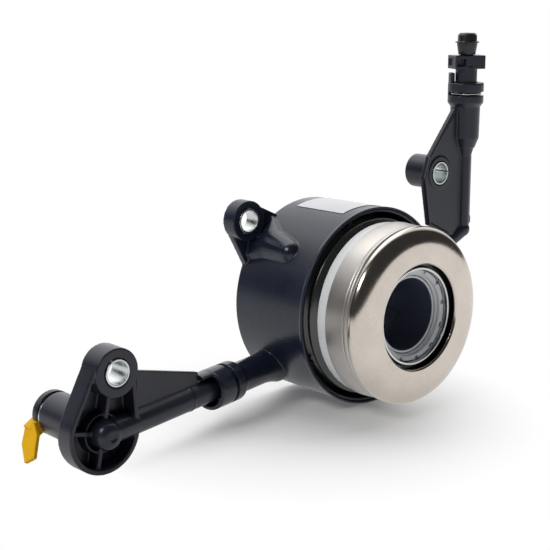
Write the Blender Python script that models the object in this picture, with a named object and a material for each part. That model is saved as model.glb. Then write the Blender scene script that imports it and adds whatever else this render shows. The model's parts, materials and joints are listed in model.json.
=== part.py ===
"""Clutch release bearing on its concentric hydraulic slave cylinder.

The bearing's own axis is horizontal and points to -Y, where the clutch is. Every sub-part is built in
the bench frame of an empty on that axis: x to the right, y up and z forward from the housing's rear
face. The empty turns the bench frame into the world, so that z becomes -Y and y becomes +Z.
"""
import math

import bmesh
import bpy
from mathutils import Matrix, Vector

MM = 0.001
WELD = 0.000001
SLIVER = 0.00002
TURN = 2.0 * math.pi

# Where the bearing's axis meets the housing's rear face, in the world
AXIS_X = 31.8 * MM
AXIS_Y = 31.5 * MM
AXIS_Z = 40.5 * MM

# Clearances
SEAT_GAP = 0.3 * MM
RUNNING_GAP = 0.3 * MM
TRAVEL_GAP = 0.5 * MM

# Facets round the large rings, the mid-sized rings, the pipes and the small parts
RING_STEPS = 40
RACE_STEPS = 28
BOOT_STEPS = 24
PIPE_STEPS = 20
SMALL_STEPS = 14

# Piston
PISTON_TRAVEL = 10.0 * MM
PISTON_REAR = 29.0 * MM
NOSE_WALL = 2.4 * MM
NOSE_LENGTH = 11.0 * MM
SEAL_LENGTH = 3.0 * MM

# Guide sleeve
SLEEVE_BORE = 14.6 * MM
SLEEVE_WALL = 0.9 * MM
SLEEVE_FRONT = 58.3 * MM
SLEEVE_FLANGE_REACH = 3.1 * MM
SLEEVE_FLANGE_THICK = 1.4 * MM

# Housing, from the cylinder outwards
BODY_DRAFT = 0.3 * MM
LIP_PROUD = 0.4 * MM
LIP_LENGTH = 1.5 * MM
SHROUD_LEAD = 5.3 * MM
SHROUD_ROOM = 2.9 * MM
SHROUD_WALL = 1.9 * MM
RIM_STEP = 0.9 * MM
RECESS_FLOOR = 20.0 * MM
CYLINDER_BORE = 23.0 * MM
CYLINDER_WALL = 3.4 * MM
CHAMBER_FLOOR = 8.0 * MM
RIB_HEIGHT = 2.0 * MM
RIB_THICK = 1.5 * MM
RIB_ANGLES = (109.0, 209.0, 289.0, 29.0)
CORING_DEPTH = 5.5 * MM
CORING_WALL = 3.0 * MM
CORING_COUNT = 8
PASSAGE_RADIUS = 1.8 * MM
PASSAGE_HEIGHT = 11.5 * MM

# Ears
EAR_STANDOFF = 11.7 * MM
EAR_BOSS_RADIUS = 8.1 * MM
EAR_BOSS_LENGTH = 6.5 * MM
EAR_PLATE_THICK = 3.0 * MM
EAR_HALF_SPREAD = math.radians(18.5)
UPPER_EAR_ANGLE = math.radians(137.2)
LOWER_EAR_ANGLE = math.radians(-38.9)
LUMP_TURN = math.radians(4.5)
LUMP_LENGTH = 28.4 * MM
LUMP_RADIUS = 5.0 * MM
LUMP_SINK = 0.9 * MM
BOLT_HEAD_RADIUS = 7.6 * MM

# Bushes
BUSH_RADIUS = 5.0 * MM
BUSH_WALL = 0.75 * MM
BUSH_PROUD = 0.3 * MM
BUSH_SLIT = 0.5 * MM

# Bearing: its radii follow the carrier ring, and its heights its rear face
BEARING_REAR = 47.3 * MM
BEARING_LENGTH = 17.95 * MM
BALL_COUNT = 14
BALL_RADIUS = 3.5 * MM
BALL_OFFSET = 0.425 * MM
BALL_LEAD = 9.3 * MM
SHELL_STEP = 0.65 * MM
SHELL_FLARE = 0.35 * MM
SHELL_WALL = 1.2 * MM
BEAD_PROUD = 0.8 * MM
BEAD_LEAD = 10.9 * MM
BEAD_LENGTH = 2.4 * MM
CAP_PROUD = 0.95 * MM
CAP_WALL = 1.2 * MM
CAP_SHOULDER = 5.2 * MM
CAP_SKIRT = 6.5 * MM
CAP_SKIRT_WALL = 1.0 * MM
NECK_WALL = 1.5 * MM
NECK_ROOM = 1.0 * MM
CARRIER_STEP = 0.4 * MM
CARRIER_RIM = 4.0 * MM
CARRIER_WEB = 1.7 * MM
NOTCH_COUNT = 12
NOTCH_DEPTH = 0.8 * MM
CAGE_RING = 1.5 * MM
CAGE_FINGER = 4.6 * MM
RETAINER_LENGTH = 6.2 * MM

# Preload spring and gaiter, from the cylinder outwards
SPRING_ROOM = 2.3 * MM
SPRING_WIRE = 1.3 * MM
SPRING_TURNS = 4.5
BOOT_ROOM = 1.5 * MM
BOOT_WALL = 0.8 * MM
BOOT_FOLD = 1.7 * MM
BOOT_FOLDS = 4

# Inlet: the pipe leaves the housing at one side and runs to a bracket that also faces forward.
# Each point is given to the side of the bearing's axis, above or below it, and forward.
INLET_SIDE = 32.3 * MM
INLET_DROP = 23.8 * MM
INLET_HEIGHT = 13.5 * MM
HUB_SIDE = 128.3 * MM
HUB_DROP = 25.8 * MM
HUB_HEIGHT = 33.5 * MM
NECK_RADIUS = 6.2 * MM
SOCKET_RADIUS = 8.0 * MM
SOCKET_WALL = 1.6 * MM
SOCKET_FLOOR = 24.0 * MM
SOCKET_CLIP_LEAD = 7.5 * MM
SOCKET_MOUTH_LEAD = 9.5 * MM
TONGUE_LENGTH = 6.0 * MM
TONGUE_HALF_SPREAD = math.radians(26.0)
PIPE_RADIUS = 4.75 * MM
PARTING_LEAD = 12.0 * MM
KNUCKLE_RADIUS = 5.9 * MM
KNUCKLE_LEAD = 5.9 * MM
HUB_RADIUS = 7.0 * MM
BRACKET_SETBACK = 6.7 * MM
BRACKET_DEPTH = 8.0 * MM
BRACKET_RADIUS = 14.7 * MM
BRACKET_WALL = 1.9 * MM
BRACKET_FLOOR = 1.5 * MM
BRACKET_RIB = 1.7 * MM
BRACKET_BOSS_SIDE = 4.5 * MM
BRACKET_BOSS_RISE = 21.8 * MM
BRACKET_BOSS_RADIUS = 8.9 * MM
BRACKET_BOSS_PROUD = 1.6 * MM
WEB_THICK = 2.4 * MM
WEB_GAP = 0.8 * MM
WEB_LOW_HEIGHT = 8.4 * MM
WEB_HIGH_HEIGHT = 17.4 * MM
WEB_SETBACK = 16.08 * MM
CONNECTOR_RADIUS = 8.3 * MM
CONNECTOR_BORE = 5.6 * MM
CONNECTOR_LENGTH = 27.3 * MM
CONNECTOR_DEPTH = 20.5 * MM
CONNECTOR_CLIP_LEAD = 4.0 * MM
PLUG_RADIUS = 4.9 * MM
PLUG_LENGTH = 13.0 * MM
PLUG_HEAD = 6.4 * MM
PLUG_HEAD_THICK = 1.4 * MM
PLUG_ARM_ANGLE = math.radians(212.0)
PLUG_ARM_WIDTH = 6.4 * MM
PLUG_ARM_REACH = 10.2 * MM
TAB_SIDE = 15.5 * MM
TAB_DROP = 12.7 * MM
TAB_LEAD = 9.1 * MM
TAB_WIDTH = 5.6 * MM
TAB_THICK = 1.5 * MM

# Bleed side: a stub, an elbow and an upright tube with its bracket plate
BLEED_SIDE = 39.7 * MM
BLEED_DROP = 3.0 * MM
BLEED_HEIGHT = 14.0 * MM
ELBOW_SIDE = 73.5 * MM
ELBOW_RISE = 20.3 * MM
ELBOW_HEIGHT = 23.0 * MM
STUB_RADIUS = 3.5 * MM
TUBE_RADIUS = 3.2 * MM
ELBOW_STEP = 0.4 * MM
BLEED_NECK_RADIUS = 5.8 * MM
BLEED_SOCKET_RADIUS = 7.6 * MM
BLEED_SOCKET_WALL = 1.6 * MM
BLEED_SOCKET_FLOOR = 4.0 * MM
BLEED_CLIP_LEAD = 7.0 * MM
BLEED_MOUTH_LEAD = 7.0 * MM
TUBE_LENGTH = 32.9 * MM
CONE_LENGTH = 3.8 * MM
SHOULDER_LENGTH = 4.3 * MM
BARREL_RADIUS = 6.5 * MM
BARREL_LENGTH = 13.7 * MM
TOP_SOCKET_RADIUS = 7.8 * MM
TOP_SOCKET_WALL = 2.2 * MM
TOP_FLARE_LENGTH = 1.7 * MM
TOP_CLIP_LEAD = 3.9 * MM
TOP_MOUTH_LEAD = 4.8 * MM
TOP_SOCKET_DEPTH = 19.4 * MM
TOP_TONGUE = 4.2 * MM
BLEED_BOSS_SIDE = 17.1 * MM
BLEED_BOSS_RISE = 26.9 * MM
BLEED_BOSS_RADIUS = 7.2 * MM
BLEED_BOSS_LENGTH = 14.2 * MM
BLEED_PLATE_THICK = 2.0 * MM
BLEED_RING_PROUD = 0.5 * MM
BORDER_WIDTH = 1.0 * MM
BORDER_INSET = 0.2 * MM
BORDER_PROUD = 0.6 * MM
TUBE_RIB_REACH = 1.3 * MM
TUBE_RIB_THICK = 1.8 * MM
VALVE_STEM = 4.7 * MM
BLOCK_LEAD = 5.9 * MM
BLOCK_HEIGHT = 5.8 * MM
BLOCK_WIDTH = 13.9 * MM
BLOCK_DEPTH = 9.0 * MM
BLOCK_TURN = math.radians(-27.5)
NIPPLE_RADIUS = 2.6 * MM
DUST_CAP_LENGTH = 9.7 * MM
DUST_CAP_RADIUS = 4.4 * MM
DUST_RIM_RADIUS = 5.2 * MM

# Wire clips and seals
CLIP_WIRE = 0.55 * MM
CLIP_SLOT = 1.5 * MM
CLIP_GAP = 0.15 * MM
CLIP_LEG = 2.3 * MM
CLIP_SHOULDER = 2.6 * MM
CLIP_EAR = 0.5 * MM
CLIP_SINK = 0.45 * MM
SLOT_HALF_SPAN = math.radians(123.0)
ORING_WIRE = 0.5 * MM

# Label
LABEL_LOW_ANGLE = math.radians(62.0)
LABEL_HIGH_ANGLE = math.radians(107.0)
LABEL_REAR = 6.5 * MM
LABEL_MARGIN = 5.4 * MM
LABEL_THICK = 0.25 * MM

# Radii that follow from the ones above, from the sleeve outwards
SLEEVE_OUTER = SLEEVE_BORE + SLEEVE_WALL
SLEEVE_FLANGE = SLEEVE_OUTER + SLEEVE_FLANGE_REACH
NOSE_RADIUS = SLEEVE_OUTER + RUNNING_GAP + NOSE_WALL
RACE_BORE = NOSE_RADIUS + SEAT_GAP
RACE_NECK = RACE_BORE + NECK_WALL
CAP_OPENING = RACE_NECK + NECK_ROOM
CYLINDER_OUTER = CYLINDER_BORE + CYLINDER_WALL
SPRING_RADIUS = CYLINDER_OUTER + SPRING_ROOM + SPRING_WIRE
BOOT_RADIUS = SPRING_RADIUS + SPRING_WIRE + BOOT_ROOM + BOOT_WALL + BOOT_FOLD
SHROUD_INNER = BOOT_RADIUS + SHROUD_ROOM
BODY_RADIUS = SHROUD_INNER + SHROUD_WALL - BODY_DRAFT
EAR_REACH = BODY_RADIUS + EAR_STANDOFF
CARRIER_RADIUS = BOOT_RADIUS - CARRIER_STEP
SHELL_REAR_RADIUS = CARRIER_RADIUS - SHELL_STEP
SHELL_FRONT_RADIUS = SHELL_REAR_RADIUS + SHELL_FLARE
CAP_RADIUS = SHELL_FRONT_RADIUS + CAP_PROUD
SKIRT_OUTER = SHELL_REAR_RADIUS - SHELL_WALL - RUNNING_GAP
SKIRT_INNER = SKIRT_OUTER - CAP_SKIRT_WALL
RACE_OUTER = SKIRT_INNER - SEAT_GAP
BALL_CIRCLE = (RACE_BORE + RACE_OUTER) / 2.0 + BALL_OFFSET

# Heights that follow, along the bench z
CARRIER_FRONT = BEARING_REAR - RUNNING_GAP
CARRIER_REAR = CARRIER_FRONT - CARRIER_RIM
WEB_REAR = CARRIER_FRONT - CARRIER_WEB
CYLINDER_FRONT = WEB_REAR - PISTON_TRAVEL - TRAVEL_GAP
HOUSING_LENGTH = CYLINDER_FRONT + SHROUD_LEAD
NOSE_FRONT = WEB_REAR + NOSE_LENGTH
BALL_HEIGHT = BEARING_REAR + BALL_LEAD
BEAD_HEIGHT = BEARING_REAR + BEAD_LEAD
BEARING_FRONT = BEARING_REAR + BEARING_LENGTH
LABEL_FRONT = HOUSING_LENGTH - LIP_LENGTH - LABEL_MARGIN

# Points and distances of the two pipes that follow
INLET_ROOT = Vector((-INLET_SIDE, -INLET_DROP, INLET_HEIGHT))
HUB = Vector((-HUB_SIDE, -HUB_DROP, HUB_HEIGHT))
PIPE_AXIS = (HUB - INLET_ROOT).normalized()
PIPE_LENGTH = (HUB - INLET_ROOT).length
SOCKET_CLIP = SOCKET_FLOOR + SOCKET_CLIP_LEAD
SOCKET_MOUTH = SOCKET_CLIP + SOCKET_MOUTH_LEAD
PARTING_PLACE = SOCKET_MOUTH + PARTING_LEAD
WEB_START = SOCKET_MOUTH + TONGUE_LENGTH + WEB_GAP
WEB_END = PIPE_LENGTH - WEB_SETBACK
KNUCKLE_FRONT = HUB.z + KNUCKLE_LEAD
BRACKET_REAR = HUB.z - BRACKET_SETBACK
BRACKET_BOSS = Vector((HUB.x + BRACKET_BOSS_SIDE, HUB.y + BRACKET_BOSS_RISE, 0.0))
CONNECTOR_END = BRACKET_REAR - CONNECTOR_LENGTH
CONNECTOR_FLOOR = CONNECTOR_END + CONNECTOR_DEPTH
CONNECTOR_CLIP = CONNECTOR_END + CONNECTOR_CLIP_LEAD
TAB_END = Vector((HUB.x - TAB_SIDE, HUB.y - TAB_DROP, CONNECTOR_END + TAB_LEAD))
BLEED_ROOT = Vector((BLEED_SIDE, -BLEED_DROP, BLEED_HEIGHT))
ELBOW = Vector((ELBOW_SIDE, ELBOW_RISE, ELBOW_HEIGHT))
STUB_AXIS = (ELBOW - BLEED_ROOT).normalized()
STUB_LENGTH = (ELBOW - BLEED_ROOT).length
BLEED_SOCKET_CLIP = BLEED_SOCKET_FLOOR + BLEED_CLIP_LEAD
BLEED_SOCKET_MOUTH = BLEED_SOCKET_CLIP + BLEED_MOUTH_LEAD
CONE_LOW = ELBOW.y + TUBE_LENGTH
CONE_STEP = CONE_LOW + CONE_LENGTH
BARREL_LOW = CONE_STEP + SHOULDER_LENGTH
BARREL_HIGH = BARREL_LOW + BARREL_LENGTH
TOP_SOCKET_LOW = BARREL_HIGH + TOP_FLARE_LENGTH
TOP_SOCKET_CLIP = TOP_SOCKET_LOW + TOP_CLIP_LEAD
TOP_SOCKET_MOUTH = TOP_SOCKET_CLIP + TOP_MOUTH_LEAD
TOP_SOCKET_FLOOR = TOP_SOCKET_MOUTH - TOP_SOCKET_DEPTH
BLOCK_LOW = TOP_SOCKET_MOUTH + BLOCK_LEAD
CAP_TOP = BLOCK_LOW + BLOCK_HEIGHT + DUST_CAP_LENGTH
BLEED_BOSS = Vector((ELBOW.x - BLEED_BOSS_SIDE, ELBOW.y + BLEED_BOSS_RISE, 0.0))
BLEED_PLATE_FRONT = ELBOW.z + BLEED_PLATE_THICK / 2.0
BLEED_BOSS_FRONT = BLEED_PLATE_FRONT + BLEED_RING_PROUD
BLEED_BOSS_REAR = BLEED_BOSS_FRONT - BLEED_BOSS_LENGTH
UP = Vector((0.0, 1.0, 0.0))
FORWARD = Vector((0.0, 0.0, 1.0))


def clear_scene():
    for old in list(bpy.data.objects):
        bpy.data.objects.remove(old, do_unlink=True)


def bench_empty():
    """The empty on the bearing's axis that carries every sub-part."""
    empty = bpy.data.objects.new("bearing_axis", None)
    empty.location = (AXIS_X, AXIS_Y, AXIS_Z)
    empty.rotation_euler = (math.pi / 2.0, 0.0, 0.0)
    bpy.context.scene.collection.objects.link(empty)
    return empty


def finish(name, colour, roughness, metallic=0.0):
    """A Principled material for one sub-part."""
    material = bpy.data.materials.new(name)
    material.use_nodes = True
    shader = material.node_tree.nodes["Principled BSDF"]
    shader.inputs["Base Color"].default_value = (*colour, 1.0)
    shader.inputs["Roughness"].default_value = roughness
    shader.inputs["Metallic"].default_value = metallic
    material.diffuse_color = (*colour, 1.0)
    return material


def black_plastic(name):
    return finish(name, (0.022, 0.024, 0.030), 0.42)


def black_rubber(name):
    return finish(name, (0.015, 0.015, 0.017), 0.5)


def steel(name):
    return finish(name, (0.62, 0.58, 0.53), 0.25, 1.0)


def bright_steel(name):
    return finish(name, (0.78, 0.80, 0.82), 0.2, 1.0)


def shaded(bm, angle=35.0):
    """Round faces smooth, corners sharp."""
    for face in bm.faces:
        face.smooth = True
    for edge in bm.edges:
        edge.smooth = edge.calc_face_angle(0.0) < math.radians(angle)


def add_object(name, bm, material=None, place=Matrix()):
    mesh = bpy.data.meshes.new(name)
    shaded(bm)
    bm.to_mesh(mesh)
    bm.free()
    if material:
        mesh.materials.append(material)
    piece = bpy.data.objects.new(name, mesh)
    bpy.context.scene.collection.objects.link(piece)
    piece.parent = AXIS
    piece.location = place.to_translation()
    piece.rotation_mode = "QUATERNION"
    piece.rotation_quaternion = place.to_quaternion()
    return piece


def guide(name, bm, place=Matrix()):
    """A shape that only joins or cuts another."""
    tool = add_object(name, bm, None, place)
    tool.hide_render = True
    tool.display_type = "WIRE"
    return tool


def boolean(target, tool, operation):
    change = target.modifiers.new(tool.name, "BOOLEAN")
    change.operation = operation
    change.solver = "EXACT"
    change.object = tool


def weld(target):
    """Close the slivers that the joins and cuts leave."""
    change = target.modifiers.new("slivers", "WELD")
    change.merge_threshold = SLIVER


def join(target, bm, place=Matrix()):
    boolean(target, guide(f"{target.name}_add_{len(target.modifiers)}", bm, place), "UNION")


def cut(target, bm, place=Matrix()):
    boolean(target, guide(f"{target.name}_cut_{len(target.modifiers)}", bm, place), "DIFFERENCE")


def along(point, axis, side=UP):
    """A frame at a point whose z runs along an axis and whose y leans to a side."""
    z = axis.normalized()
    x = side.cross(z).normalized()
    y = z.cross(x)
    frame = Matrix((x, y, z)).transposed().to_4x4()
    frame.translation = point
    return frame


def polar(radius, angle, height=0.0):
    return Vector((radius * math.cos(angle), radius * math.sin(angle), height))


def spun(profile, steps, ring=True):
    """A body turned about z from (radius, height) points, as a ring or from axis to axis."""
    bm = bmesh.new()
    points = [bm.verts.new((radius, 0.0, height)) for radius, height in profile]
    edges = [bm.edges.new(pair) for pair in zip(points, points[1:])]
    if ring:
        edges.append(bm.edges.new((points[-1], points[0])))
    bmesh.ops.spin(bm, geom=points + edges, cent=(0, 0, 0), axis=(0, 0, 1), angle=TURN,
                   steps=steps, use_merge=True, use_duplicate=False)
    bmesh.ops.remove_doubles(bm, verts=bm.verts, dist=WELD)
    bmesh.ops.recalc_face_normals(bm, faces=bm.faces)
    return bm


def prism(outline, low, high):
    """A flat outline raised along z."""
    bm = bmesh.new()
    face = bm.faces.new([bm.verts.new((x, y, low)) for x, y in outline])
    raised = bmesh.ops.extrude_face_region(bm, geom=[face])["geom"]
    top = [item for item in raised if isinstance(item, bmesh.types.BMVert)]
    bmesh.ops.translate(bm, vec=(0.0, 0.0, high - low), verts=top)
    bmesh.ops.recalc_face_normals(bm, faces=bm.faces)
    return bm


def arc(centre, radius, start, end, count):
    """Points round an arc, in the plane."""
    angles = [start + (end - start) * i / count for i in range(count + 1)]
    return [(centre[0] + radius * math.cos(a), centre[1] + radius * math.sin(a)) for a in angles]


def rod(radius, low, high, steps, phase=0.0):
    """A round bar along z, with flat ends."""
    return prism(arc((0.0, 0.0), radius, phase, phase + TURN, steps)[:-1], low, high)


def bore(radius, low, high, steps):
    """A round cutter, turned by half a facet so that no corner meets one of the piece it cuts."""
    return rod(radius, low, high, steps, TURN / steps / 2.0)


def half_facet(steps):
    return Matrix.Rotation(TURN / steps / 2.0, 4, "Z")


def section_arc(centre, radius, start, end, count):
    """Points round an arc of a turned profile, with angles in degrees."""
    return arc(centre, radius, math.radians(start), math.radians(end), count)


def sector(inner, outer, start, end, low, high, count):
    """A piece of a ring."""
    outline = arc((0, 0), outer, start, end, count) + arc((0, 0), inner, end, start, count)
    return prism(outline, low, high)


def hull_of_circles(big_centre, big_radius, small_centre, small_radius, count):
    """The outline round two circles and their common tangents."""
    reach = Vector(small_centre[:2]) - Vector(big_centre[:2])
    heading = math.atan2(reach.y, reach.x)
    lean = math.acos((big_radius - small_radius) / reach.length)
    big = arc(big_centre, big_radius, heading + lean, heading + TURN - lean, count)
    small = arc(small_centre, small_radius, heading - lean, heading + lean, count)
    return big + small


def bent_wire(name, points, radius, material, place=Matrix(), sides=1, closed=False):
    """A wire through points, as a curve with a round bevel."""
    data = bpy.data.curves.new(name, "CURVE")
    data.dimensions = "3D"
    data.bevel_depth = radius
    data.bevel_resolution = sides
    data.use_fill_caps = True
    spline = data.splines.new("POLY")
    spline.points.add(len(points) - 1)
    for point, spot in zip(spline.points, points):
        point.co = (*spot, 1.0)
    spline.use_cyclic_u = closed
    data.materials.append(material)
    wire = bpy.data.objects.new(name, data)
    bpy.context.scene.collection.objects.link(wire)
    wire.parent = AXIS
    wire.location = place.to_translation()
    wire.rotation_mode = "QUATERNION"
    wire.rotation_quaternion = place.to_quaternion()
    return wire


def body_section():
    """The housing's outside, with the hole for the guide sleeve and its flange's recess."""
    lip = BODY_RADIUS + BODY_DRAFT + LIP_PROUD
    hole = SLEEVE_OUTER + SEAT_GAP
    recess = SLEEVE_FLANGE + SEAT_GAP
    recess_depth = SLEEVE_FLANGE_THICK + SEAT_GAP
    chamfer = 0.6 * MM
    return [
        (recess, 0.0),
        (BODY_RADIUS - chamfer, 0.0),
        (BODY_RADIUS, chamfer),
        (BODY_RADIUS + BODY_DRAFT, HOUSING_LENGTH - LIP_LENGTH),
        (lip, HOUSING_LENGTH - LIP_LENGTH + LIP_PROUD),
        (lip, HOUSING_LENGTH),
        (hole, HOUSING_LENGTH),
        (hole, recess_depth),
        (recess, recess_depth),
    ]


def hollow_section():
    """The cutter for the inside: the cylinder's bore and the space round the cylinder."""
    step = BODY_RADIUS + BODY_DRAFT + LIP_PROUD - RIM_STEP
    inner = SLEEVE_OUTER - SEAT_GAP
    beyond = HOUSING_LENGTH + 1.0 * MM
    return [
        (inner, CHAMBER_FLOOR),
        (CYLINDER_BORE, CHAMBER_FLOOR),
        (CYLINDER_BORE, CYLINDER_FRONT),
        (CYLINDER_OUTER, CYLINDER_FRONT),
        (CYLINDER_OUTER, RECESS_FLOOR),
        (SHROUD_INNER, RECESS_FLOOR),
        (SHROUD_INNER, HOUSING_LENGTH - RIM_STEP),
        (step, HOUSING_LENGTH - RIM_STEP),
        (step, beyond),
        (inner, beyond),
    ]


def ear_outline():
    """The ear's plate with the ear pointing to +X: from inside the body to the boss."""
    rim = EAR_BOSS_RADIUS - SEAT_GAP
    root = polar(BODY_RADIUS, EAR_HALF_SPREAD)
    reach = Vector((EAR_REACH - root.x, root.y))
    lean = math.acos(rim / reach.length)
    edge = math.pi - math.atan2(reach.y, reach.x) - lean
    inner = root.x - 3.0 * MM
    tip = arc((EAR_REACH, 0.0), rim, -edge, edge, 10)
    return [(inner, -root.y), (root.x, -root.y)] + tip + [(root.x, root.y), (inner, root.y)]


def add_ear(housing, angle, lump_turn):
    """Plate, boss, the rounded gusset along the body, and room for the bolt and its head."""
    turned = Matrix.Rotation(angle, 4, "Z")
    join(housing, prism(ear_outline(), 0.0, EAR_PLATE_THICK), turned)
    boss = Matrix.Translation(polar(EAR_REACH, angle))
    join(housing, rod(EAR_BOSS_RADIUS, 0.0, EAR_BOSS_LENGTH, PIPE_STEPS), boss)
    start = polar(EAR_REACH - EAR_BOSS_RADIUS, angle, EAR_PLATE_THICK)
    end = polar(BODY_RADIUS - 0.35 * LUMP_RADIUS, angle + lump_turn, LUMP_LENGTH - LUMP_RADIUS)
    length = (end - start).length
    wide = LUMP_RADIUS * 1.25
    nose = section_arc((0.0, length), LUMP_RADIUS, 0.0, 90.0, 4)
    tail = [(0.0, -LUMP_SINK), (wide, -LUMP_SINK)]
    join(housing, spun(tail + nose[:-1] + [(0.0, length + LUMP_RADIUS)], 12, ring=False),
         along(start, end - start))
    hole = bore(BUSH_RADIUS + SEAT_GAP, -1.0 * MM, EAR_BOSS_LENGTH + 1.0 * MM, PIPE_STEPS)
    cut(housing, hole, boss)
    head_room = bore(BOLT_HEAD_RADIUS, EAR_BOSS_LENGTH + 0.15 * MM, LUMP_LENGTH, PIPE_STEPS)
    cut(housing, head_room, boss)


def socket_section(root, neck, outer, floor, mouth):
    """A port boss: a neck that flares into a round socket."""
    flare = 2.2 * MM
    edge = 0.4 * MM
    return [
        (0.0, root),
        (neck, root),
        (neck, floor + flare - 3.0 * MM),
        (outer, floor + flare),
        (outer, mouth - edge),
        (outer - edge, mouth),
        (0.0, mouth),
    ]


def clip_slot(outer, wall, height):
    """The cutter for a clip's slot: most of a ring, open to the side that the clip slides to."""
    middle = math.radians(90.0)
    inner = outer - wall - 0.8 * MM
    low = height - CLIP_SLOT / 2.0
    return sector(inner, outer + 1.0 * MM, middle - SLOT_HALF_SPAN, middle + SLOT_HALF_SPAN,
                  low, low + CLIP_SLOT, 10)


def clip_points(outer, spigot):
    """A horseshoe: a bow in the slot, two straight legs beside the spigot and turned-out ends."""
    half = spigot + CLIP_WIRE + CLIP_GAP
    bow = outer - CLIP_WIRE - CLIP_SINK - CLIP_SHOULDER
    points = [Vector((outer + CLIP_EAR, -CLIP_LEG - 0.9 * MM, 0.0)), Vector((half, -CLIP_LEG, 0.0))]
    for index in range(9):
        turn = math.pi * index / 8
        points.append(Vector((half * math.cos(turn), CLIP_SHOULDER + bow * math.sin(turn), 0.0)))
    points.append(Vector((-half, -CLIP_LEG, 0.0)))
    points.append(Vector((-outer - CLIP_EAR, -CLIP_LEG - 0.9 * MM, 0.0)))
    return points


def tongue(outer, wall, mouth, length, middle):
    """The locking tongue: an arc of the socket's wall that stands beyond its mouth."""
    start = middle - TONGUE_HALF_SPREAD
    end = middle + TONGUE_HALF_SPREAD
    inner = outer - wall + 0.15 * MM
    return sector(inner, outer - 0.15 * MM, start, end, mouth - 2.0 * MM, mouth + length, 5)


def passage(housing, start, start_axis):
    """The drilled way from a socket's floor to the chamber behind the piston."""
    middle = (SLEEVE_OUTER + CYLINDER_BORE) / 2.0
    turn = math.atan2(start.y, start.x)
    goal = polar(middle, turn, PASSAGE_HEIGHT)
    mouth = start + start_axis * 1.0 * MM
    cut(housing, rod(PASSAGE_RADIUS, 0.0, (goal - mouth).length, 10), along(mouth, goal - mouth))


def coring(housing):
    """Pockets moulded into the rear face between the rim and the cylinder."""
    pitch = TURN / CORING_COUNT
    inner = CYLINDER_OUTER + 1.0 * MM
    outer = BODY_RADIUS - CORING_WALL
    for index in range(CORING_COUNT):
        middle = pitch * (index + 0.5)
        half = pitch / 2.0 - math.radians(3.0)
        cut(housing, sector(inner, outer, middle - half, middle + half, -1.0 * MM, CORING_DEPTH, 3))


def shroud_ribs(housing):
    for angle in RIB_ANGLES:
        depth = SHROUD_INNER - RIB_HEIGHT
        half = RIB_THICK / 2.0
        outline = [(depth, -half), (SHROUD_INNER + 0.5 * MM, -half),
                   (SHROUD_INNER + 0.5 * MM, half), (depth, half)]
        rib = prism(outline, RECESS_FLOOR - 0.5 * MM, HOUSING_LENGTH - 2.0 * MM)
        join(housing, rib, Matrix.Rotation(math.radians(angle), 4, "Z"))


def inlet_frame():
    return along(INLET_ROOT, PIPE_AXIS, FORWARD)


def bleed_frame():
    return along(BLEED_ROOT, STUB_AXIS, FORWARD)


def top_frame():
    """The upright bleed axis: z up, y forward."""
    return along(Vector((ELBOW.x, 0.0, ELBOW.z)), UP, FORWARD)


def make_housing():
    housing = add_object("housing", spun(body_section(), RING_STEPS), black_plastic("housing"))
    add_ear(housing, UPPER_EAR_ANGLE, LUMP_TURN)
    add_ear(housing, LOWER_EAR_ANGLE, -LUMP_TURN)
    inlet = inlet_frame()
    join(housing, spun(socket_section(-7.0 * MM, NECK_RADIUS, SOCKET_RADIUS, SOCKET_FLOOR,
                                      SOCKET_MOUTH), PIPE_STEPS, ring=False), inlet)
    bleed = bleed_frame()
    join(housing, spun(socket_section(-6.0 * MM, BLEED_NECK_RADIUS, BLEED_SOCKET_RADIUS,
                                      BLEED_SOCKET_FLOOR, BLEED_SOCKET_MOUTH),
                       PIPE_STEPS, ring=False), bleed)
    cut(housing, spun(hollow_section(), RING_STEPS), half_facet(RING_STEPS))
    shroud_ribs(housing)
    cut(housing, bore(SOCKET_RADIUS - SOCKET_WALL, SOCKET_FLOOR, SOCKET_MOUTH + 1.0 * MM, PIPE_STEPS),
        inlet)
    cut(housing, bore(BLEED_SOCKET_RADIUS - BLEED_SOCKET_WALL, BLEED_SOCKET_FLOOR,
                     BLEED_SOCKET_MOUTH + 1.0 * MM, PIPE_STEPS), bleed)
    join(housing, tongue(SOCKET_RADIUS, SOCKET_WALL, SOCKET_MOUTH, TONGUE_LENGTH,
                         math.radians(180.0)), inlet)
    cut(housing, clip_slot(SOCKET_RADIUS, SOCKET_WALL, SOCKET_CLIP), inlet)
    cut(housing, clip_slot(BLEED_SOCKET_RADIUS, BLEED_SOCKET_WALL, BLEED_SOCKET_CLIP), bleed)
    passage(housing, INLET_ROOT + PIPE_AXIS * SOCKET_FLOOR, PIPE_AXIS)
    passage(housing, BLEED_ROOT + STUB_AXIS * BLEED_SOCKET_FLOOR, STUB_AXIS)
    coring(housing)
    weld(housing)


def make_guide_sleeve():
    section = [
        (SLEEVE_BORE, SEAT_GAP),
        (SLEEVE_FLANGE, SEAT_GAP),
        (SLEEVE_FLANGE, SEAT_GAP + SLEEVE_FLANGE_THICK - 0.3 * MM),
        (SLEEVE_OUTER, SEAT_GAP + SLEEVE_FLANGE_THICK - 0.3 * MM),
        (SLEEVE_OUTER, SLEEVE_FRONT - 0.3 * MM),
        (SLEEVE_BORE + 0.3 * MM, SLEEVE_FRONT),
        (SLEEVE_BORE, SLEEVE_FRONT - 0.3 * MM),
    ]
    finish_ = finish("guide_sleeve", (0.05, 0.05, 0.055), 0.35, 0.8)
    add_object("guide_sleeve", spun(section, RACE_STEPS), finish_)


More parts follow.
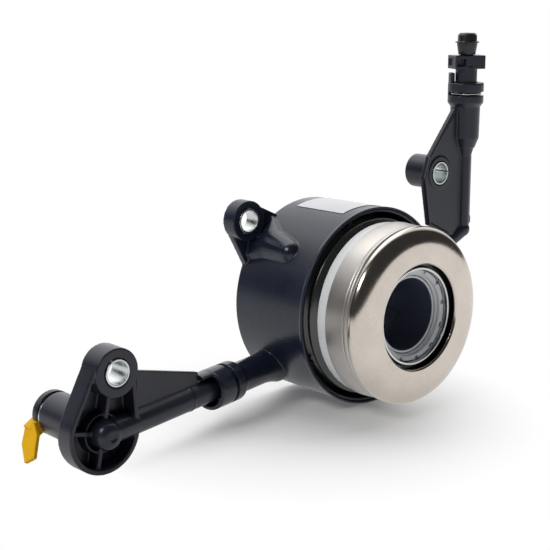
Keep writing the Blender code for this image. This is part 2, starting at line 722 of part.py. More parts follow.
def make_piston():
    bore = SLEEVE_OUTER + RUNNING_GAP
    skirt = CYLINDER_BORE - 0.4 * MM
    section = [
        (bore, PISTON_REAR),
        (skirt, PISTON_REAR),
        (skirt, WEB_REAR - SEAT_GAP),
        (NOSE_RADIUS, WEB_REAR - SEAT_GAP),
        (NOSE_RADIUS, NOSE_FRONT),
        (bore, NOSE_FRONT),
    ]
    add_object("piston", spun(section, RACE_STEPS), finish("piston", (0.03, 0.03, 0.035), 0.5))


def make_piston_seal():
    """A cup seal whose two lips open to the fluid."""
    inner = SLEEVE_OUTER + RUNNING_GAP
    outer = CYLINDER_BORE - RUNNING_GAP
    front = PISTON_REAR - SEAT_GAP
    rear = front - SEAL_LENGTH
    lip = 1.3 * MM
    heel = 0.3 * MM
    section = [
        (inner + heel, front),
        (inner, rear),
        (inner + lip, rear),
        (inner + 2.0 * lip, front - 1.1 * MM),
        (outer - 2.0 * lip, front - 1.1 * MM),
        (outer - lip, rear),
        (outer, rear),
        (outer - heel, front),
    ]
    add_object("piston_seal", spun(section, RACE_STEPS), black_rubber("piston_seal"))


def make_spring_seat():
    """The pale ring behind the bearing, which also carries it on the piston."""
    inner = NOSE_RADIUS + SEAT_GAP
    rim = CARRIER_RADIUS - 0.7 * MM
    section = [
        (inner, WEB_REAR),
        (CARRIER_RADIUS - 2.4 * MM, WEB_REAR),
        (CARRIER_RADIUS - 1.9 * MM, CARRIER_REAR),
        (CARRIER_RADIUS - 0.3 * MM, CARRIER_REAR),
        (CARRIER_RADIUS, CARRIER_REAR + 0.4 * MM),
        (rim, CARRIER_FRONT),
        (inner, CARRIER_FRONT),
    ]
    add_object("spring_seat", spun(section, RING_STEPS), finish("spring_seat", (0.72, 0.74, 0.74), 0.5))


def make_preload_spring():
    low = RECESS_FLOOR + SPRING_WIRE + SEAT_GAP
    high = WEB_REAR - SPRING_WIRE - SEAT_GAP
    count = int(SPRING_TURNS * 12)
    points = []
    for index in range(count + 1):
        share = index / count
        lift = min(max((share * SPRING_TURNS - 0.75) / (SPRING_TURNS - 1.5), 0.0), 1.0)
        closed = 2.0 * SPRING_WIRE + 0.2 * MM
        flat = 0.0
        if share * SPRING_TURNS < 0.75:
            flat = closed * (share * SPRING_TURNS - 0.75)
        if share * SPRING_TURNS > SPRING_TURNS - 0.75:
            flat = closed * (share * SPRING_TURNS - SPRING_TURNS + 0.75)
        body_low = low + 0.75 * closed
        body_high = high - 0.75 * closed
        height = body_low + (body_high - body_low) * lift + flat
        points.append(polar(SPRING_RADIUS, TURN * share * SPRING_TURNS, height))
    bent_wire("preload_spring", points, SPRING_WIRE, steel("preload_spring"))


def make_dust_boot():
    """A gaiter with rolled folds between the housing's floor and the pale ring."""
    low = RECESS_FLOOR + SEAT_GAP
    high = CARRIER_REAR - SEAT_GAP
    steps = BOOT_FOLDS * 3
    outer = []
    inner = []
    for index in range(steps + 1):
        share = index / steps
        height = low + (high - low) * share
        wave = 0.5 - 0.5 * math.cos(TURN * BOOT_FOLDS * share)
        radius = BOOT_RADIUS - BOOT_FOLD * (1.0 - wave)
        outer.append((radius, height))
        inner.append((radius - BOOT_WALL, height))
    add_object("dust_boot", spun(outer + inner[::-1], BOOT_STEPS), black_rubber("dust_boot"))


def make_bearing_shell():
    """Rear shell: a turned-in rear edge, a plain band and a rolled bead."""
    flange = SHELL_REAR_RADIUS - 6.5 * MM
    bead_low = BEAD_HEIGHT - BEAD_LENGTH / 2.0
    bead_high = BEAD_HEIGHT + BEAD_LENGTH / 2.0
    crest = SHELL_FRONT_RADIUS + BEAD_PROUD
    shoulder = BEAD_LENGTH / 4.0
    end = bead_high + 0.5 * MM
    outer = [
        (flange, BEARING_REAR),
        (SHELL_REAR_RADIUS - 0.8 * MM, BEARING_REAR),
        (SHELL_REAR_RADIUS, BEARING_REAR + 0.8 * MM),
        (SHELL_FRONT_RADIUS, bead_low),
        (crest, bead_low + shoulder),
        (crest, bead_high - shoulder),
        (SHELL_FRONT_RADIUS + 0.1 * MM, bead_high),
        (SHELL_FRONT_RADIUS + 0.1 * MM, end),
    ]
    inner = [
        (SHELL_FRONT_RADIUS + 0.1 * MM - SHELL_WALL, end),
        (SHELL_REAR_RADIUS - SHELL_WALL, BEARING_REAR + SHELL_WALL + 0.4 * MM),
        (SHELL_REAR_RADIUS - SHELL_WALL - 0.4 * MM, BEARING_REAR + SHELL_WALL),
        (flange, BEARING_REAR + SHELL_WALL),
    ]
    add_object("bearing_shell", spun(outer + inner, RING_STEPS), steel("bearing_shell"))
    return end


def make_bearing_cap(shell_end):
    """Front cap: a skirt inside the shell, a full round shoulder and a flat face with an opening."""
    start = shell_end + RUNNING_GAP
    centre = (CAP_RADIUS - CAP_SHOULDER, BEARING_FRONT - CAP_SHOULDER)
    shoulder = section_arc(centre, CAP_SHOULDER, 0.0, 90.0, 5)
    hollow = section_arc(centre, CAP_SHOULDER - CAP_WALL, 90.0, 20.0, 2)
    section = [(SKIRT_OUTER, start - CAP_SKIRT), (SKIRT_OUTER, start), (CAP_RADIUS - 0.3 * MM, start)]
    section += shoulder
    section += [
        (CAP_OPENING + 0.6 * MM, BEARING_FRONT),
        (CAP_OPENING, BEARING_FRONT - 0.6 * MM),
        (CAP_OPENING, BEARING_FRONT - CAP_WALL),
    ]
    section += hollow
    section += [(SKIRT_INNER, start - 0.4 * MM), (SKIRT_INNER, start - CAP_SKIRT)]
    add_object("bearing_cap", spun(section, RING_STEPS), steel("bearing_cap"))


def race_groove(start, end):
    return section_arc((BALL_CIRCLE, BALL_HEIGHT), BALL_RADIUS + RUNNING_GAP, start, end, 4)


def make_outer_race():
    front = BEARING_FRONT - CAP_WALL - SEAT_GAP - 1.8 * MM
    rear = BEARING_REAR + SHELL_WALL + 2.0 * MM
    edge = front - 0.9 * MM
    section = [(RACE_OUTER, rear), (RACE_OUTER, edge), (RACE_OUTER - 0.9 * MM, front),
               (BALL_CIRCLE + 1.0 * MM, front)]
    section += race_groove(70.0, -40.0)
    section += [(BALL_CIRCLE + 3.3 * MM, rear)]
    add_object("outer_race", spun(section, RACE_STEPS), bright_steel("outer_race"))
    return rear


def make_inner_race():
    front = BEARING_FRONT - 0.6 * MM
    rear = BEARING_REAR
    section = [
        (RACE_BORE, rear),
        (BALL_CIRCLE - 3.9 * MM, rear),
        (BALL_CIRCLE - 3.9 * MM, rear + 3.0 * MM),
        (BALL_CIRCLE - 2.4 * MM, rear + 4.6 * MM),
    ]
    section += race_groove(250.0, 140.0)
    section += [
        (BALL_CIRCLE - 3.4 * MM, BALL_HEIGHT + 3.4 * MM),
        (RACE_NECK, BALL_HEIGHT + 4.6 * MM),
        (RACE_NECK, front - 0.3 * MM),
        (RACE_NECK - 0.3 * MM, front),
        (RACE_BORE, front),
    ]
    add_object("inner_race", spun(section, RACE_STEPS), bright_steel("inner_race"))


def make_balls():
    for index in range(BALL_COUNT):
        bm = bmesh.new()
        bmesh.ops.create_uvsphere(bm, u_segments=8, v_segments=5, radius=BALL_RADIUS)
        spot = Matrix.Translation(polar(BALL_CIRCLE, TURN * index / BALL_COUNT, BALL_HEIGHT))
        name = f"ball_{index + 1:02d}"
        add_object(name, bm, bright_steel(name), spot)


def make_ball_cage():
    """A crown cage: a ring behind the balls with one finger between each pair."""
    front = BALL_HEIGHT - BALL_RADIUS - RUNNING_GAP
    rear = front - CAGE_RING
    wall = 1.1 * MM
    steps = BALL_COUNT * 4
    bm = spun([(BALL_CIRCLE - wall, rear), (BALL_CIRCLE + wall, rear),
               (BALL_CIRCLE + wall, front), (BALL_CIRCLE - wall, front)], steps)
    pitch = TURN / BALL_COUNT
    fingers = []
    for face in bm.faces:
        middle = face.calc_center_median()
        turn = math.atan2(middle.y, middle.x) % pitch
        if middle.z > front - WELD and abs(turn - pitch * 0.625) < pitch * 0.1:
            fingers.append(face)
    raised = bmesh.ops.extrude_discrete_faces(bm, faces=fingers)["faces"]
    for face in raised:
        bmesh.ops.translate(bm, vec=(0.0, 0.0, CAGE_FINGER), verts=face.verts)
    place = Matrix.Rotation(-pitch / 8.0, 4, "Z")
    add_object("ball_cage", bm, finish("ball_cage", (0.45, 0.30, 0.12), 0.5), place)


def make_rear_seal(race_rear):
    low = BEARING_REAR + SHELL_WALL + SEAT_GAP
    high = race_rear - SEAT_GAP
    inner = BALL_CIRCLE - 0.8 * MM
    section = [(inner, low), (RACE_OUTER, low), (RACE_OUTER, high), (inner, high)]
    add_object("rear_seal", spun(section, RACE_STEPS), black_rubber("rear_seal"))


def make_front_seal():
    high = BEARING_FRONT - CAP_WALL - SEAT_GAP
    low = high - 1.2 * MM
    inner = RACE_NECK + RUNNING_GAP
    outer = CAP_OPENING + 5.0 * MM
    section = [(inner, low), (outer, low), (outer, high), (inner, high)]
    add_object("front_seal", spun(section, RACE_STEPS), black_rubber("front_seal"))


def make_retaining_ring():
    """The notched ring in front of the piston's nose, with a funnel-shaped inside."""
    rear = NOSE_FRONT + SEAT_GAP
    front = rear + RETAINER_LENGTH
    bore = SLEEVE_OUTER + RUNNING_GAP
    section = [
        (bore, rear),
        (NOSE_RADIUS, rear),
        (NOSE_RADIUS, front),
        (NOSE_RADIUS - 0.5 * MM, front),
        (bore + 0.8 * MM, front - 2.7 * MM),
        (bore, front - 3.6 * MM),
    ]
    ring = add_object("retaining_ring", spun(section, RACE_STEPS),
                      finish("retaining_ring", (0.52, 0.54, 0.55), 0.4))
    half = 0.9 * MM
    notch = [(NOSE_RADIUS - 1.2 * MM, -half), (NOSE_RADIUS + 1.0 * MM, -half),
             (NOSE_RADIUS + 1.0 * MM, half), (NOSE_RADIUS - 1.2 * MM, half)]
    for index in range(NOTCH_COUNT):
        cutter = prism(notch, front - NOTCH_DEPTH, front + 1.0 * MM)
        cut(ring, cutter, Matrix.Rotation(TURN * (index + 0.3) / NOTCH_COUNT, 4, "Z"))


def make_bush(name, centre, low, high, slit_angle=None):
    section = [(BUSH_RADIUS - BUSH_WALL, low), (BUSH_RADIUS, low),
               (BUSH_RADIUS, high), (BUSH_RADIUS - BUSH_WALL, high)]
    place = Matrix.Translation((centre.x, centre.y, 0.0))
    bush = add_object(name, spun(section, PIPE_STEPS), bright_steel(name), place)
    if slit_angle is not None:
        half = BUSH_SLIT / 2.0
        outline = [(0.0, -half), (BUSH_RADIUS + 1.0 * MM, -half),
                   (BUSH_RADIUS + 1.0 * MM, half), (0.0, half)]
        slit = prism(outline, low - 1.0 * MM, high + 1.0 * MM)
        cut(bush, slit, place @ Matrix.Rotation(math.radians(slit_angle), 4, "Z"))


def make_bushes():
    ear_high = EAR_BOSS_LENGTH + BUSH_PROUD
    make_bush("ear_bush_upper", polar(EAR_REACH, UPPER_EAR_ANGLE), 0.0, ear_high)
    make_bush("ear_bush_lower", polar(EAR_REACH, LOWER_EAR_ANGLE), 0.0, ear_high)
    inlet_high = BRACKET_REAR + BRACKET_DEPTH + BRACKET_BOSS_PROUD + BUSH_PROUD
    make_bush("inlet_bush", BRACKET_BOSS, BRACKET_REAR, inlet_high, 115.0)
    make_bush("bleed_bush", BLEED_BOSS, BLEED_BOSS_REAR, BLEED_BOSS_FRONT + BUSH_PROUD, 5.0)


def spigot_section(start, radius, collar, collar_low, collar_high, end):
    """A pipe end: plain tip, a ring for the seal to bear on, then the plain pipe."""
    return [
        (0.0, start),
        (radius - 0.4 * MM, start),
        (radius, start + 0.4 * MM),
        (radius, collar_low),
        (collar, collar_low),
        (collar, collar_high),
        (radius, collar_high),
        (radius, end),
        (0.0, end),
    ]


def bracket_rib(bracket, start, end):
    """A straight rib of the bracket between two points of its plan."""
    run = end - start
    place = Matrix.Translation((start.x, start.y, 0.0)) @ Matrix.Rotation(
        math.atan2(run.y, run.x), 4, "Z")
    half = BRACKET_RIB / 2.0
    low = BRACKET_REAR + BRACKET_FLOOR / 2.0
    high = BRACKET_REAR + BRACKET_DEPTH - 1.2 * MM
    outline = [(0.0, -half), (run.length, -half), (run.length, half), (0.0, half)]
    join(bracket, prism(outline, low, high), place)


def make_bracket():
    """The drop-shaped bracket: a rim, a floor, ribs and the boss for the bush."""
    top = BRACKET_REAR + BRACKET_DEPTH
    outer = hull_of_circles(HUB, BRACKET_RADIUS, BRACKET_BOSS, BRACKET_BOSS_RADIUS - SEAT_GAP, 18)
    inner = hull_of_circles(HUB, BRACKET_RADIUS - BRACKET_WALL, BRACKET_BOSS,
                            BRACKET_BOSS_RADIUS - BRACKET_WALL, 18)
    pipe = add_object("inlet_pipe", prism(outer, BRACKET_REAR, top), black_plastic("inlet_pipe"))
    cut(pipe, prism(inner, BRACKET_REAR + BRACKET_FLOOR, top + 8.0 * MM))
    boss = Matrix.Translation(BRACKET_BOSS)
    join(pipe, rod(BRACKET_BOSS_RADIUS, BRACKET_REAR, top + BRACKET_BOSS_PROUD, PIPE_STEPS), boss)
    centre = Vector(HUB[:2])
    upward = (Vector(BRACKET_BOSS[:2]) - centre).normalized()
    across = Vector((-upward.y, upward.x))
    reach = BRACKET_RADIUS - BRACKET_WALL / 2.0
    bracket_rib(pipe, centre + upward * 4.0 * MM, Vector(BRACKET_BOSS[:2]) - upward * 7.0 * MM)
    bracket_rib(pipe, centre - upward * 4.0 * MM, centre - upward * reach)
    bracket_rib(pipe, centre + across * 4.0 * MM, centre + across * reach)
    bracket_rib(pipe, centre - across * 4.0 * MM, centre - across * reach)
    hole = bore(BUSH_RADIUS + SEAT_GAP, BRACKET_REAR - 2.0 * MM, top + 5.0 * MM, PIPE_STEPS)
    cut(pipe, hole, boss)
    return pipe


def hub_section():
    """The knuckle in front, the hub inside the bracket and the connector barrel behind it."""
    dimple = 0.5 * MM
    return [
        (0.0, KNUCKLE_FRONT - dimple),
        (1.5 * MM, KNUCKLE_FRONT - dimple),
        (1.9 * MM, KNUCKLE_FRONT),
        (KNUCKLE_RADIUS - 1.8 * MM, KNUCKLE_FRONT - 0.2 * MM),
        (KNUCKLE_RADIUS - 0.5 * MM, KNUCKLE_FRONT - 0.9 * MM),
        (KNUCKLE_RADIUS, KNUCKLE_FRONT - 2.2 * MM),
        (KNUCKLE_RADIUS, HUB.z),
        (HUB_RADIUS, HUB.z),
        (HUB_RADIUS, BRACKET_REAR + 0.5 * MM),
        (CONNECTOR_RADIUS, BRACKET_REAR + 0.5 * MM),
        (CONNECTOR_RADIUS, CONNECTOR_END + 0.5 * MM),
        (CONNECTOR_RADIUS - 0.5 * MM, CONNECTOR_END),
        (CONNECTOR_BORE + 0.4 * MM, CONNECTOR_END),
        (CONNECTOR_BORE, CONNECTOR_END + 0.6 * MM),
        (CONNECTOR_BORE, CONNECTOR_FLOOR),
        (0.0, CONNECTOR_FLOOR),
    ]


def connector_side():
    """The connector's frame: z forward, y to the left, where its clip slides out."""
    return along(Vector((HUB.x, HUB.y, 0.0)), FORWARD, Vector((-1.0, 0.0, 0.0)))


def make_inlet_pipe():
    frame = inlet_frame()
    collar = SOCKET_RADIUS - SOCKET_WALL - RUNNING_GAP
    section = spigot_section(SOCKET_FLOOR + 0.6 * MM, PIPE_RADIUS, collar, SOCKET_CLIP - 3.6 * MM,
                             SOCKET_CLIP - 1.2 * MM, PIPE_LENGTH)
    parting = [(PIPE_RADIUS, PARTING_PLACE), (PIPE_RADIUS + 0.2 * MM, PARTING_PLACE + 0.2 * MM),
               (PIPE_RADIUS + 0.2 * MM, PARTING_PLACE + 0.9 * MM),
               (PIPE_RADIUS, PARTING_PLACE + 1.1 * MM)]
    section[-2:-2] = parting
    pipe = make_bracket()
    join(pipe, spun(section, PIPE_STEPS, ring=False), frame)
    join(pipe, spun(hub_section(), PIPE_STEPS, ring=False), Matrix.Translation((HUB.x, HUB.y, 0.0)))
    upright = along(INLET_ROOT, PIPE_AXIS.cross(UP), UP)
    web = [(WEB_START, 0.0), (WEB_START, WEB_LOW_HEIGHT), (WEB_END, WEB_HIGH_HEIGHT), (WEB_END, 0.0)]
    join(pipe, prism(web, -WEB_THICK / 2.0, WEB_THICK / 2.0), upright)
    side = connector_side()
    cut(pipe, clip_slot(CONNECTOR_RADIUS, CONNECTOR_RADIUS - CONNECTOR_BORE, CONNECTOR_CLIP), side)
    half = PLUG_ARM_WIDTH / 2.0 + SEAT_GAP
    notch = prism([(0.0, -half), (PLUG_ARM_REACH, -half), (PLUG_ARM_REACH, half), (0.0, half)],
                  CONNECTOR_END - 1.0 * MM, CONNECTOR_CLIP)
    turned = Matrix.Translation((HUB.x, HUB.y, 0.0)) @ Matrix.Rotation(PLUG_ARM_ANGLE, 4, "Z")
    cut(pipe, notch, turned)
    weld(pipe)
    return frame


def slab(start, end, width, thick):
    """A straight strip with square ends between two points, wide along the bench z."""
    run = (end - start).normalized()
    across = FORWARD - run * FORWARD.dot(run)
    across = across.normalized() * width / 2.0
    up = run.cross(across).normalized() * thick / 2.0
    bm = bmesh.new()
    corners = []
    for spot in (start, end):
        for side, lift in ((-1, -1), (1, -1), (1, 1), (-1, 1)):
            corners.append(bm.verts.new(spot + across * side + up * lift))
    bmesh.ops.convex_hull(bm, input=corners)
    bmesh.ops.recalc_face_normals(bm, faces=bm.faces)
    return bm


def make_transport_plug():
    """Stopper in the connector, with an arm through the end ring's notch and a pull tab."""
    origin = Vector((HUB.x, HUB.y, 0.0))
    place = Matrix.Translation(origin)
    head = CONNECTOR_END - SEAT_GAP
    section = [
        (0.0, head - PLUG_HEAD_THICK),
        (PLUG_HEAD, head - PLUG_HEAD_THICK),
        (PLUG_HEAD, head),
        (PLUG_RADIUS, head),
        (PLUG_RADIUS, head + PLUG_LENGTH - 1.0 * MM),
        (PLUG_RADIUS - 1.0 * MM, head + PLUG_LENGTH),
        (0.0, head + PLUG_LENGTH),
    ]
    plug = add_object("transport_plug", spun(section, PIPE_STEPS, ring=False),
                      finish("transport_plug", (0.80, 0.56, 0.02), 0.45), place)
    half = PLUG_ARM_WIDTH / 2.0
    high = CONNECTOR_CLIP - CLIP_SLOT / 2.0 - SEAT_GAP
    arm = prism([(0.0, -half), (PLUG_ARM_REACH, -half), (PLUG_ARM_REACH, half), (0.0, half)],
                head - PLUG_HEAD_THICK, high)
    join(plug, arm, place @ Matrix.Rotation(PLUG_ARM_ANGLE, 4, "Z"))
    root = origin + polar(PLUG_ARM_REACH - 0.4 * MM, PLUG_ARM_ANGLE + math.radians(10.0),
                          CONNECTOR_END + 0.7 * MM)
    join(plug, slab(root, TAB_END, TAB_WIDTH, TAB_THICK))
    weld(plug)


def make_clips(inlet, bleed, top):
    clips = (
        ("inlet_clip", inlet, SOCKET_RADIUS, PIPE_RADIUS, SOCKET_CLIP),
        ("bleed_pipe_clip", bleed, BLEED_SOCKET_RADIUS, STUB_RADIUS, BLEED_SOCKET_CLIP),
        ("bleed_valve_clip", top, TOP_SOCKET_RADIUS, VALVE_STEM, TOP_SOCKET_CLIP),
        ("connector_clip", connector_side(), CONNECTOR_RADIUS, PLUG_RADIUS, CONNECTOR_CLIP),
    )
    for name, frame, outer, spigot, height in clips:
        place = frame @ Matrix.Translation((0.0, 0.0, height))
        bent_wire(name, clip_points(outer, spigot), CLIP_WIRE, bright_steel(name), place, sides=0)


def make_seal_ring(name, frame, height, pipe_radius, bore):
    middle = (pipe_radius + bore) / 2.0
    section = arc((middle, 0.0), ORING_WIRE, 0.0, TURN, 6)[:-1]
    place = frame @ Matrix.Translation((0.0, 0.0, height))
    add_object(name, spun(section, SMALL_STEPS), black_rubber(name), place)


def bleed_tube_section():
    edge = 0.4 * MM
    return [
        (0.0, ELBOW.y + ELBOW_STEP),
        (TUBE_RADIUS, ELBOW.y + ELBOW_STEP),
        (TUBE_RADIUS, CONE_LOW),
        (TUBE_RADIUS + 1.0 * MM, CONE_STEP - 0.3 * MM),
        (TUBE_RADIUS + 1.5 * MM, CONE_STEP + 0.1 * MM),
        (BARREL_RADIUS - 0.2 * MM, BARREL_LOW),
        (BARREL_RADIUS, BARREL_HIGH),
        (TOP_SOCKET_RADIUS, TOP_SOCKET_LOW),
        (TOP_SOCKET_RADIUS, TOP_SOCKET_MOUTH - edge),
        (TOP_SOCKET_RADIUS - edge, TOP_SOCKET_MOUTH),
        (0.0, TOP_SOCKET_MOUTH),
    ]


def top_socket_bore():
    """The cutter for the upper socket: a wide mouth and a narrower seat for the adapter's stem."""
    stem = VALVE_STEM + SEAT_GAP
    bore = TOP_SOCKET_RADIUS - TOP_SOCKET_WALL
    return [
        (0.0, TOP_SOCKET_FLOOR),
        (stem, TOP_SOCKET_FLOOR),
        (stem, TOP_SOCKET_CLIP - 2.6 * MM),
        (bore, TOP_SOCKET_CLIP - 2.0 * MM),
        (bore, TOP_SOCKET_MOUTH + 1.0 * MM),
        (0.0, TOP_SOCKET_MOUTH + 1.0 * MM),
    ]


def bleed_plate_outline():
    """The bracket's plate: a long kite from the barrel past the boss to the elbow."""
    right = ELBOW.x - 0.5 * TUBE_RADIUS
    boss = BLEED_BOSS
    rim = BLEED_BOSS_RADIUS
    return [
        (right, TOP_SOCKET_LOW - 2.5 * MM),
        (ELBOW.x - BARREL_RADIUS - 1.6 * MM, BARREL_HIGH - 0.6 * MM),
        (boss.x - rim * 0.97, boss.y + rim * 1.05),
        (boss.x - rim * 1.42, boss.y - rim * 0.25),
        (boss.x - rim * 0.88, ELBOW.y + 4.6 * MM),
        (ELBOW.x - 10.5 * MM, ELBOW.y - 1.6 * MM),
        (right, ELBOW.y - 1.6 * MM),
    ]


def inset(points, depth):
    """The points of an open outline, moved to its left side by a depth."""
    spots = [Vector(point) for point in points]
    sides = []
    for before, after in zip(spots, spots[1:]):
        run = after - before
        sides.append(Vector((-run.y, run.x)).normalized())
    moved = []
    for spot, one, two in zip(spots, sides[:1] + sides, sides + sides[-1:]):
        lean = (one + two).normalized()
        moved.append(spot + lean * depth / lean.dot(one))
    return moved


def bleed_border():
    """The raised border along the plate's free edges."""
    edge = bleed_plate_outline()[1:6]
    outer = inset(edge, BORDER_INSET)
    inner = inset(edge, BORDER_INSET + BORDER_WIDTH)
    return prism(outer + inner[::-1], ELBOW.z, BLEED_PLATE_FRONT + BORDER_PROUD)


def tube_rib():
    """The flat rib down the tube's outer side, from the cone to the elbow, with a pip at its foot."""
    inner = ELBOW.x + TUBE_RADIUS / 2.0
    outer = ELBOW.x + TUBE_RADIUS + TUBE_RIB_REACH
    foot = ELBOW.y + 1.2 * MM
    pip = 0.5 * MM
    return [(inner, foot), (outer - 2.0 * pip, foot), (outer + pip, foot + 1.5 * MM),
            (outer + pip, foot + 4.0 * MM), (outer, foot + 4.8 * MM),
            (outer, CONE_LOW + 1.0 * MM), (inner, CONE_LOW + 1.0 * MM)]


def make_bleed_pipe():
    top = top_frame()
    stub = bleed_frame()
    pipe = add_object("bleed_pipe", spun(bleed_tube_section(), PIPE_STEPS, ring=False),
                      black_plastic("bleed_pipe"), top)
    collar = BLEED_SOCKET_RADIUS - BLEED_SOCKET_WALL - RUNNING_GAP
    join(pipe, spun(spigot_section(BLEED_SOCKET_FLOOR + 0.6 * MM, STUB_RADIUS, collar,
                                   BLEED_SOCKET_CLIP - 3.4 * MM, BLEED_SOCKET_CLIP - 1.2 * MM,
                                   STUB_LENGTH - ELBOW_STEP), PIPE_STEPS, ring=False), stub)
    corner = bmesh.new()
    bmesh.ops.create_uvsphere(corner, u_segments=14, v_segments=10, radius=STUB_RADIUS + 0.15 * MM)
    join(pipe, corner, Matrix.Translation(ELBOW))
    join(pipe, prism(bleed_plate_outline(), ELBOW.z - BLEED_PLATE_THICK / 2.0, BLEED_PLATE_FRONT))
    join(pipe, bleed_border())
    join(pipe, prism(tube_rib(), ELBOW.z - TUBE_RIB_THICK / 2.0, ELBOW.z + TUBE_RIB_THICK / 2.0))
    boss = Matrix.Translation(BLEED_BOSS)
    join(pipe, rod(BLEED_BOSS_RADIUS, BLEED_BOSS_REAR, BLEED_BOSS_FRONT, PIPE_STEPS), boss)
    cut(pipe, bore(BUSH_RADIUS + SEAT_GAP, BLEED_BOSS_REAR - 1.0 * MM, BLEED_BOSS_FRONT + 1.0 * MM,
                   PIPE_STEPS), boss)
    cut(pipe, spun(top_socket_bore(), PIPE_STEPS, ring=False), top @ half_facet(PIPE_STEPS))
    join(pipe, tongue(TOP_SOCKET_RADIUS, TOP_SOCKET_WALL, TOP_SOCKET_MOUTH, TOP_TONGUE,
                      math.radians(318.0)), top)
    cut(pipe, clip_slot(TOP_SOCKET_RADIUS, TOP_SOCKET_WALL, TOP_SOCKET_CLIP), top)
    weld(pipe)


def make_bleed_valve(top):
    """Adapter in the upper socket, with a windowed block that is used to pull it."""
    groove = VALVE_STEM - 0.5 * MM
    block_high = BLOCK_LOW + BLOCK_HEIGHT
    tip = CAP_TOP - 1.8 * MM
    section = [
        (0.0, TOP_SOCKET_FLOOR + 0.5 * MM),
        (VALVE_STEM - 0.5 * MM, TOP_SOCKET_FLOOR + 0.5 * MM),
        (VALVE_STEM - 0.5 * MM, TOP_SOCKET_FLOOR + 3.0 * MM),
        (VALVE_STEM - 1.3 * MM, TOP_SOCKET_FLOOR + 3.0 * MM),
        (VALVE_STEM - 1.3 * MM, TOP_SOCKET_FLOOR + 4.4 * MM),
        (VALVE_STEM, TOP_SOCKET_FLOOR + 4.4 * MM),
        (VALVE_STEM, TOP_SOCKET_CLIP - 0.8 * MM),
        (groove, TOP_SOCKET_CLIP - 0.6 * MM),
        (groove, TOP_SOCKET_CLIP + 0.6 * MM),
        (VALVE_STEM, TOP_SOCKET_CLIP + 0.8 * MM),
        (VALVE_STEM, BLOCK_LOW + 1.0 * MM),
        (NIPPLE_RADIUS, BLOCK_LOW + 1.0 * MM),
        (NIPPLE_RADIUS, tip - 3.0 * MM),
        (NIPPLE_RADIUS - 0.6 * MM, tip),
        (0.0, tip),
    ]
    valve = add_object("bleed_valve", spun(section, SMALL_STEPS, ring=False),
                       black_plastic("bleed_valve"), top)
    turned = top @ Matrix.Rotation(BLOCK_TURN, 4, "Z")
    half = BLOCK_WIDTH / 2.0
    deep = BLOCK_DEPTH / 2.0
    block = [(-half, -deep), (half, -deep), (half, deep), (-half, deep)]
    join(valve, prism(block, BLOCK_LOW, block_high), turned)
    low = BLOCK_LOW + 1.3 * MM
    high = block_high - 1.3 * MM
    near = half - 1.0 * MM
    far = half - 4.9 * MM
    window = [(far, deep - 2.2 * MM), (near, deep - 2.2 * MM),
              (near, deep + 1.0 * MM), (far, deep + 1.0 * MM)]
    cut(valve, prism(window, low, high), turned)
    side = [(half - 0.8 * MM, -deep + 1.2 * MM), (half + 1.0 * MM, -deep + 1.2 * MM),
            (half + 1.0 * MM, deep - 2.8 * MM), (half - 0.8 * MM, deep - 2.8 * MM)]
    cut(valve, prism(side, low, high), turned)
    weld(valve)


def make_bleed_cap(top):
    """Rubber dust cap with a thin rim, pushed over the nipple."""
    low = BLOCK_LOW + BLOCK_HEIGHT + SEAT_GAP
    rim = CAP_TOP - 4.1 * MM
    bore = NIPPLE_RADIUS + SEAT_GAP
    section = [
        (0.0, CAP_TOP - 1.5 * MM),
        (bore, CAP_TOP - 1.5 * MM),
        (bore, low),
        (DUST_CAP_RADIUS - 0.7 * MM, low),
        (DUST_CAP_RADIUS, rim - 0.9 * MM),
        (DUST_CAP_RADIUS, rim - 0.3 * MM),
        (DUST_RIM_RADIUS, rim - 0.2 * MM),
        (DUST_RIM_RADIUS, rim + 0.2 * MM),
        (DUST_CAP_RADIUS - 0.2 * MM, rim + 0.4 * MM),
        (DUST_CAP_RADIUS - 0.3 * MM, CAP_TOP - 1.1 * MM),
        (DUST_CAP_RADIUS - 1.1 * MM, CAP_TOP - 0.2 * MM),
        (0.0, CAP_TOP),
    ]
    add_object("bleed_cap", spun(section, SMALL_STEPS, ring=False), black_rubber("bleed_cap"), top)


def make_label():
    inner = BODY_RADIUS + BODY_DRAFT + SEAT_GAP
    patch = sector(inner, inner + LABEL_THICK, LABEL_LOW_ANGLE, LABEL_HIGH_ANGLE,
                   LABEL_REAR, LABEL_FRONT, 8)
    add_object("label", patch, finish("label", (0.82, 0.82, 0.84), 0.5))


def main():
    make_housing()
    make_guide_sleeve()
    make_piston()
    make_piston_seal()
    make_spring_seat()
    make_preload_spring()
    make_dust_boot()
    make_bearing_cap(make_bearing_shell())
    make_rear_seal(make_outer_race())
    make_inner_race()
    make_balls()
    make_ball_cage()
    make_front_seal()
    make_retaining_ring()
    make_bushes()
    inlet = make_inlet_pipe()
    make_transport_plug()
    make_bleed_pipe()
    bleed = bleed_frame()
    top = top_frame()
    make_bleed_valve(top)
    make_bleed_cap(top)
    make_clips(inlet, bleed, top)
    make_seal_ring("inlet_seal", inlet, SOCKET_FLOOR + 2.0 * MM, PIPE_RADIUS,
                   SOCKET_RADIUS - SOCKET_WALL)
    make_seal_ring("bleed_pipe_seal", bleed, BLEED_SOCKET_FLOOR + 2.0 * MM, STUB_RADIUS,
                   BLEED_SOCKET_RADIUS - BLEED_SOCKET_WALL)
    make_seal_ring("bleed_valve_seal", top, TOP_SOCKET_FLOOR + 3.7 * MM, VALVE_STEM - 1.3 * MM,
                   VALVE_STEM + SEAT_GAP)
    make_label()


clear_scene()
AXIS = bench_empty()
main()
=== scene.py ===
"""The looks of the clutch release bearing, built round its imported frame.

Every fine piece is modelled in the bench frame of the bearing's axis: x to the right, y up and z forward
from the housing's rear face. It is then set into the world, where forward is -Y.
"""
import json
from collections import namedtuple
from math import acos, atan2, cos, pi, radians, sin, tan

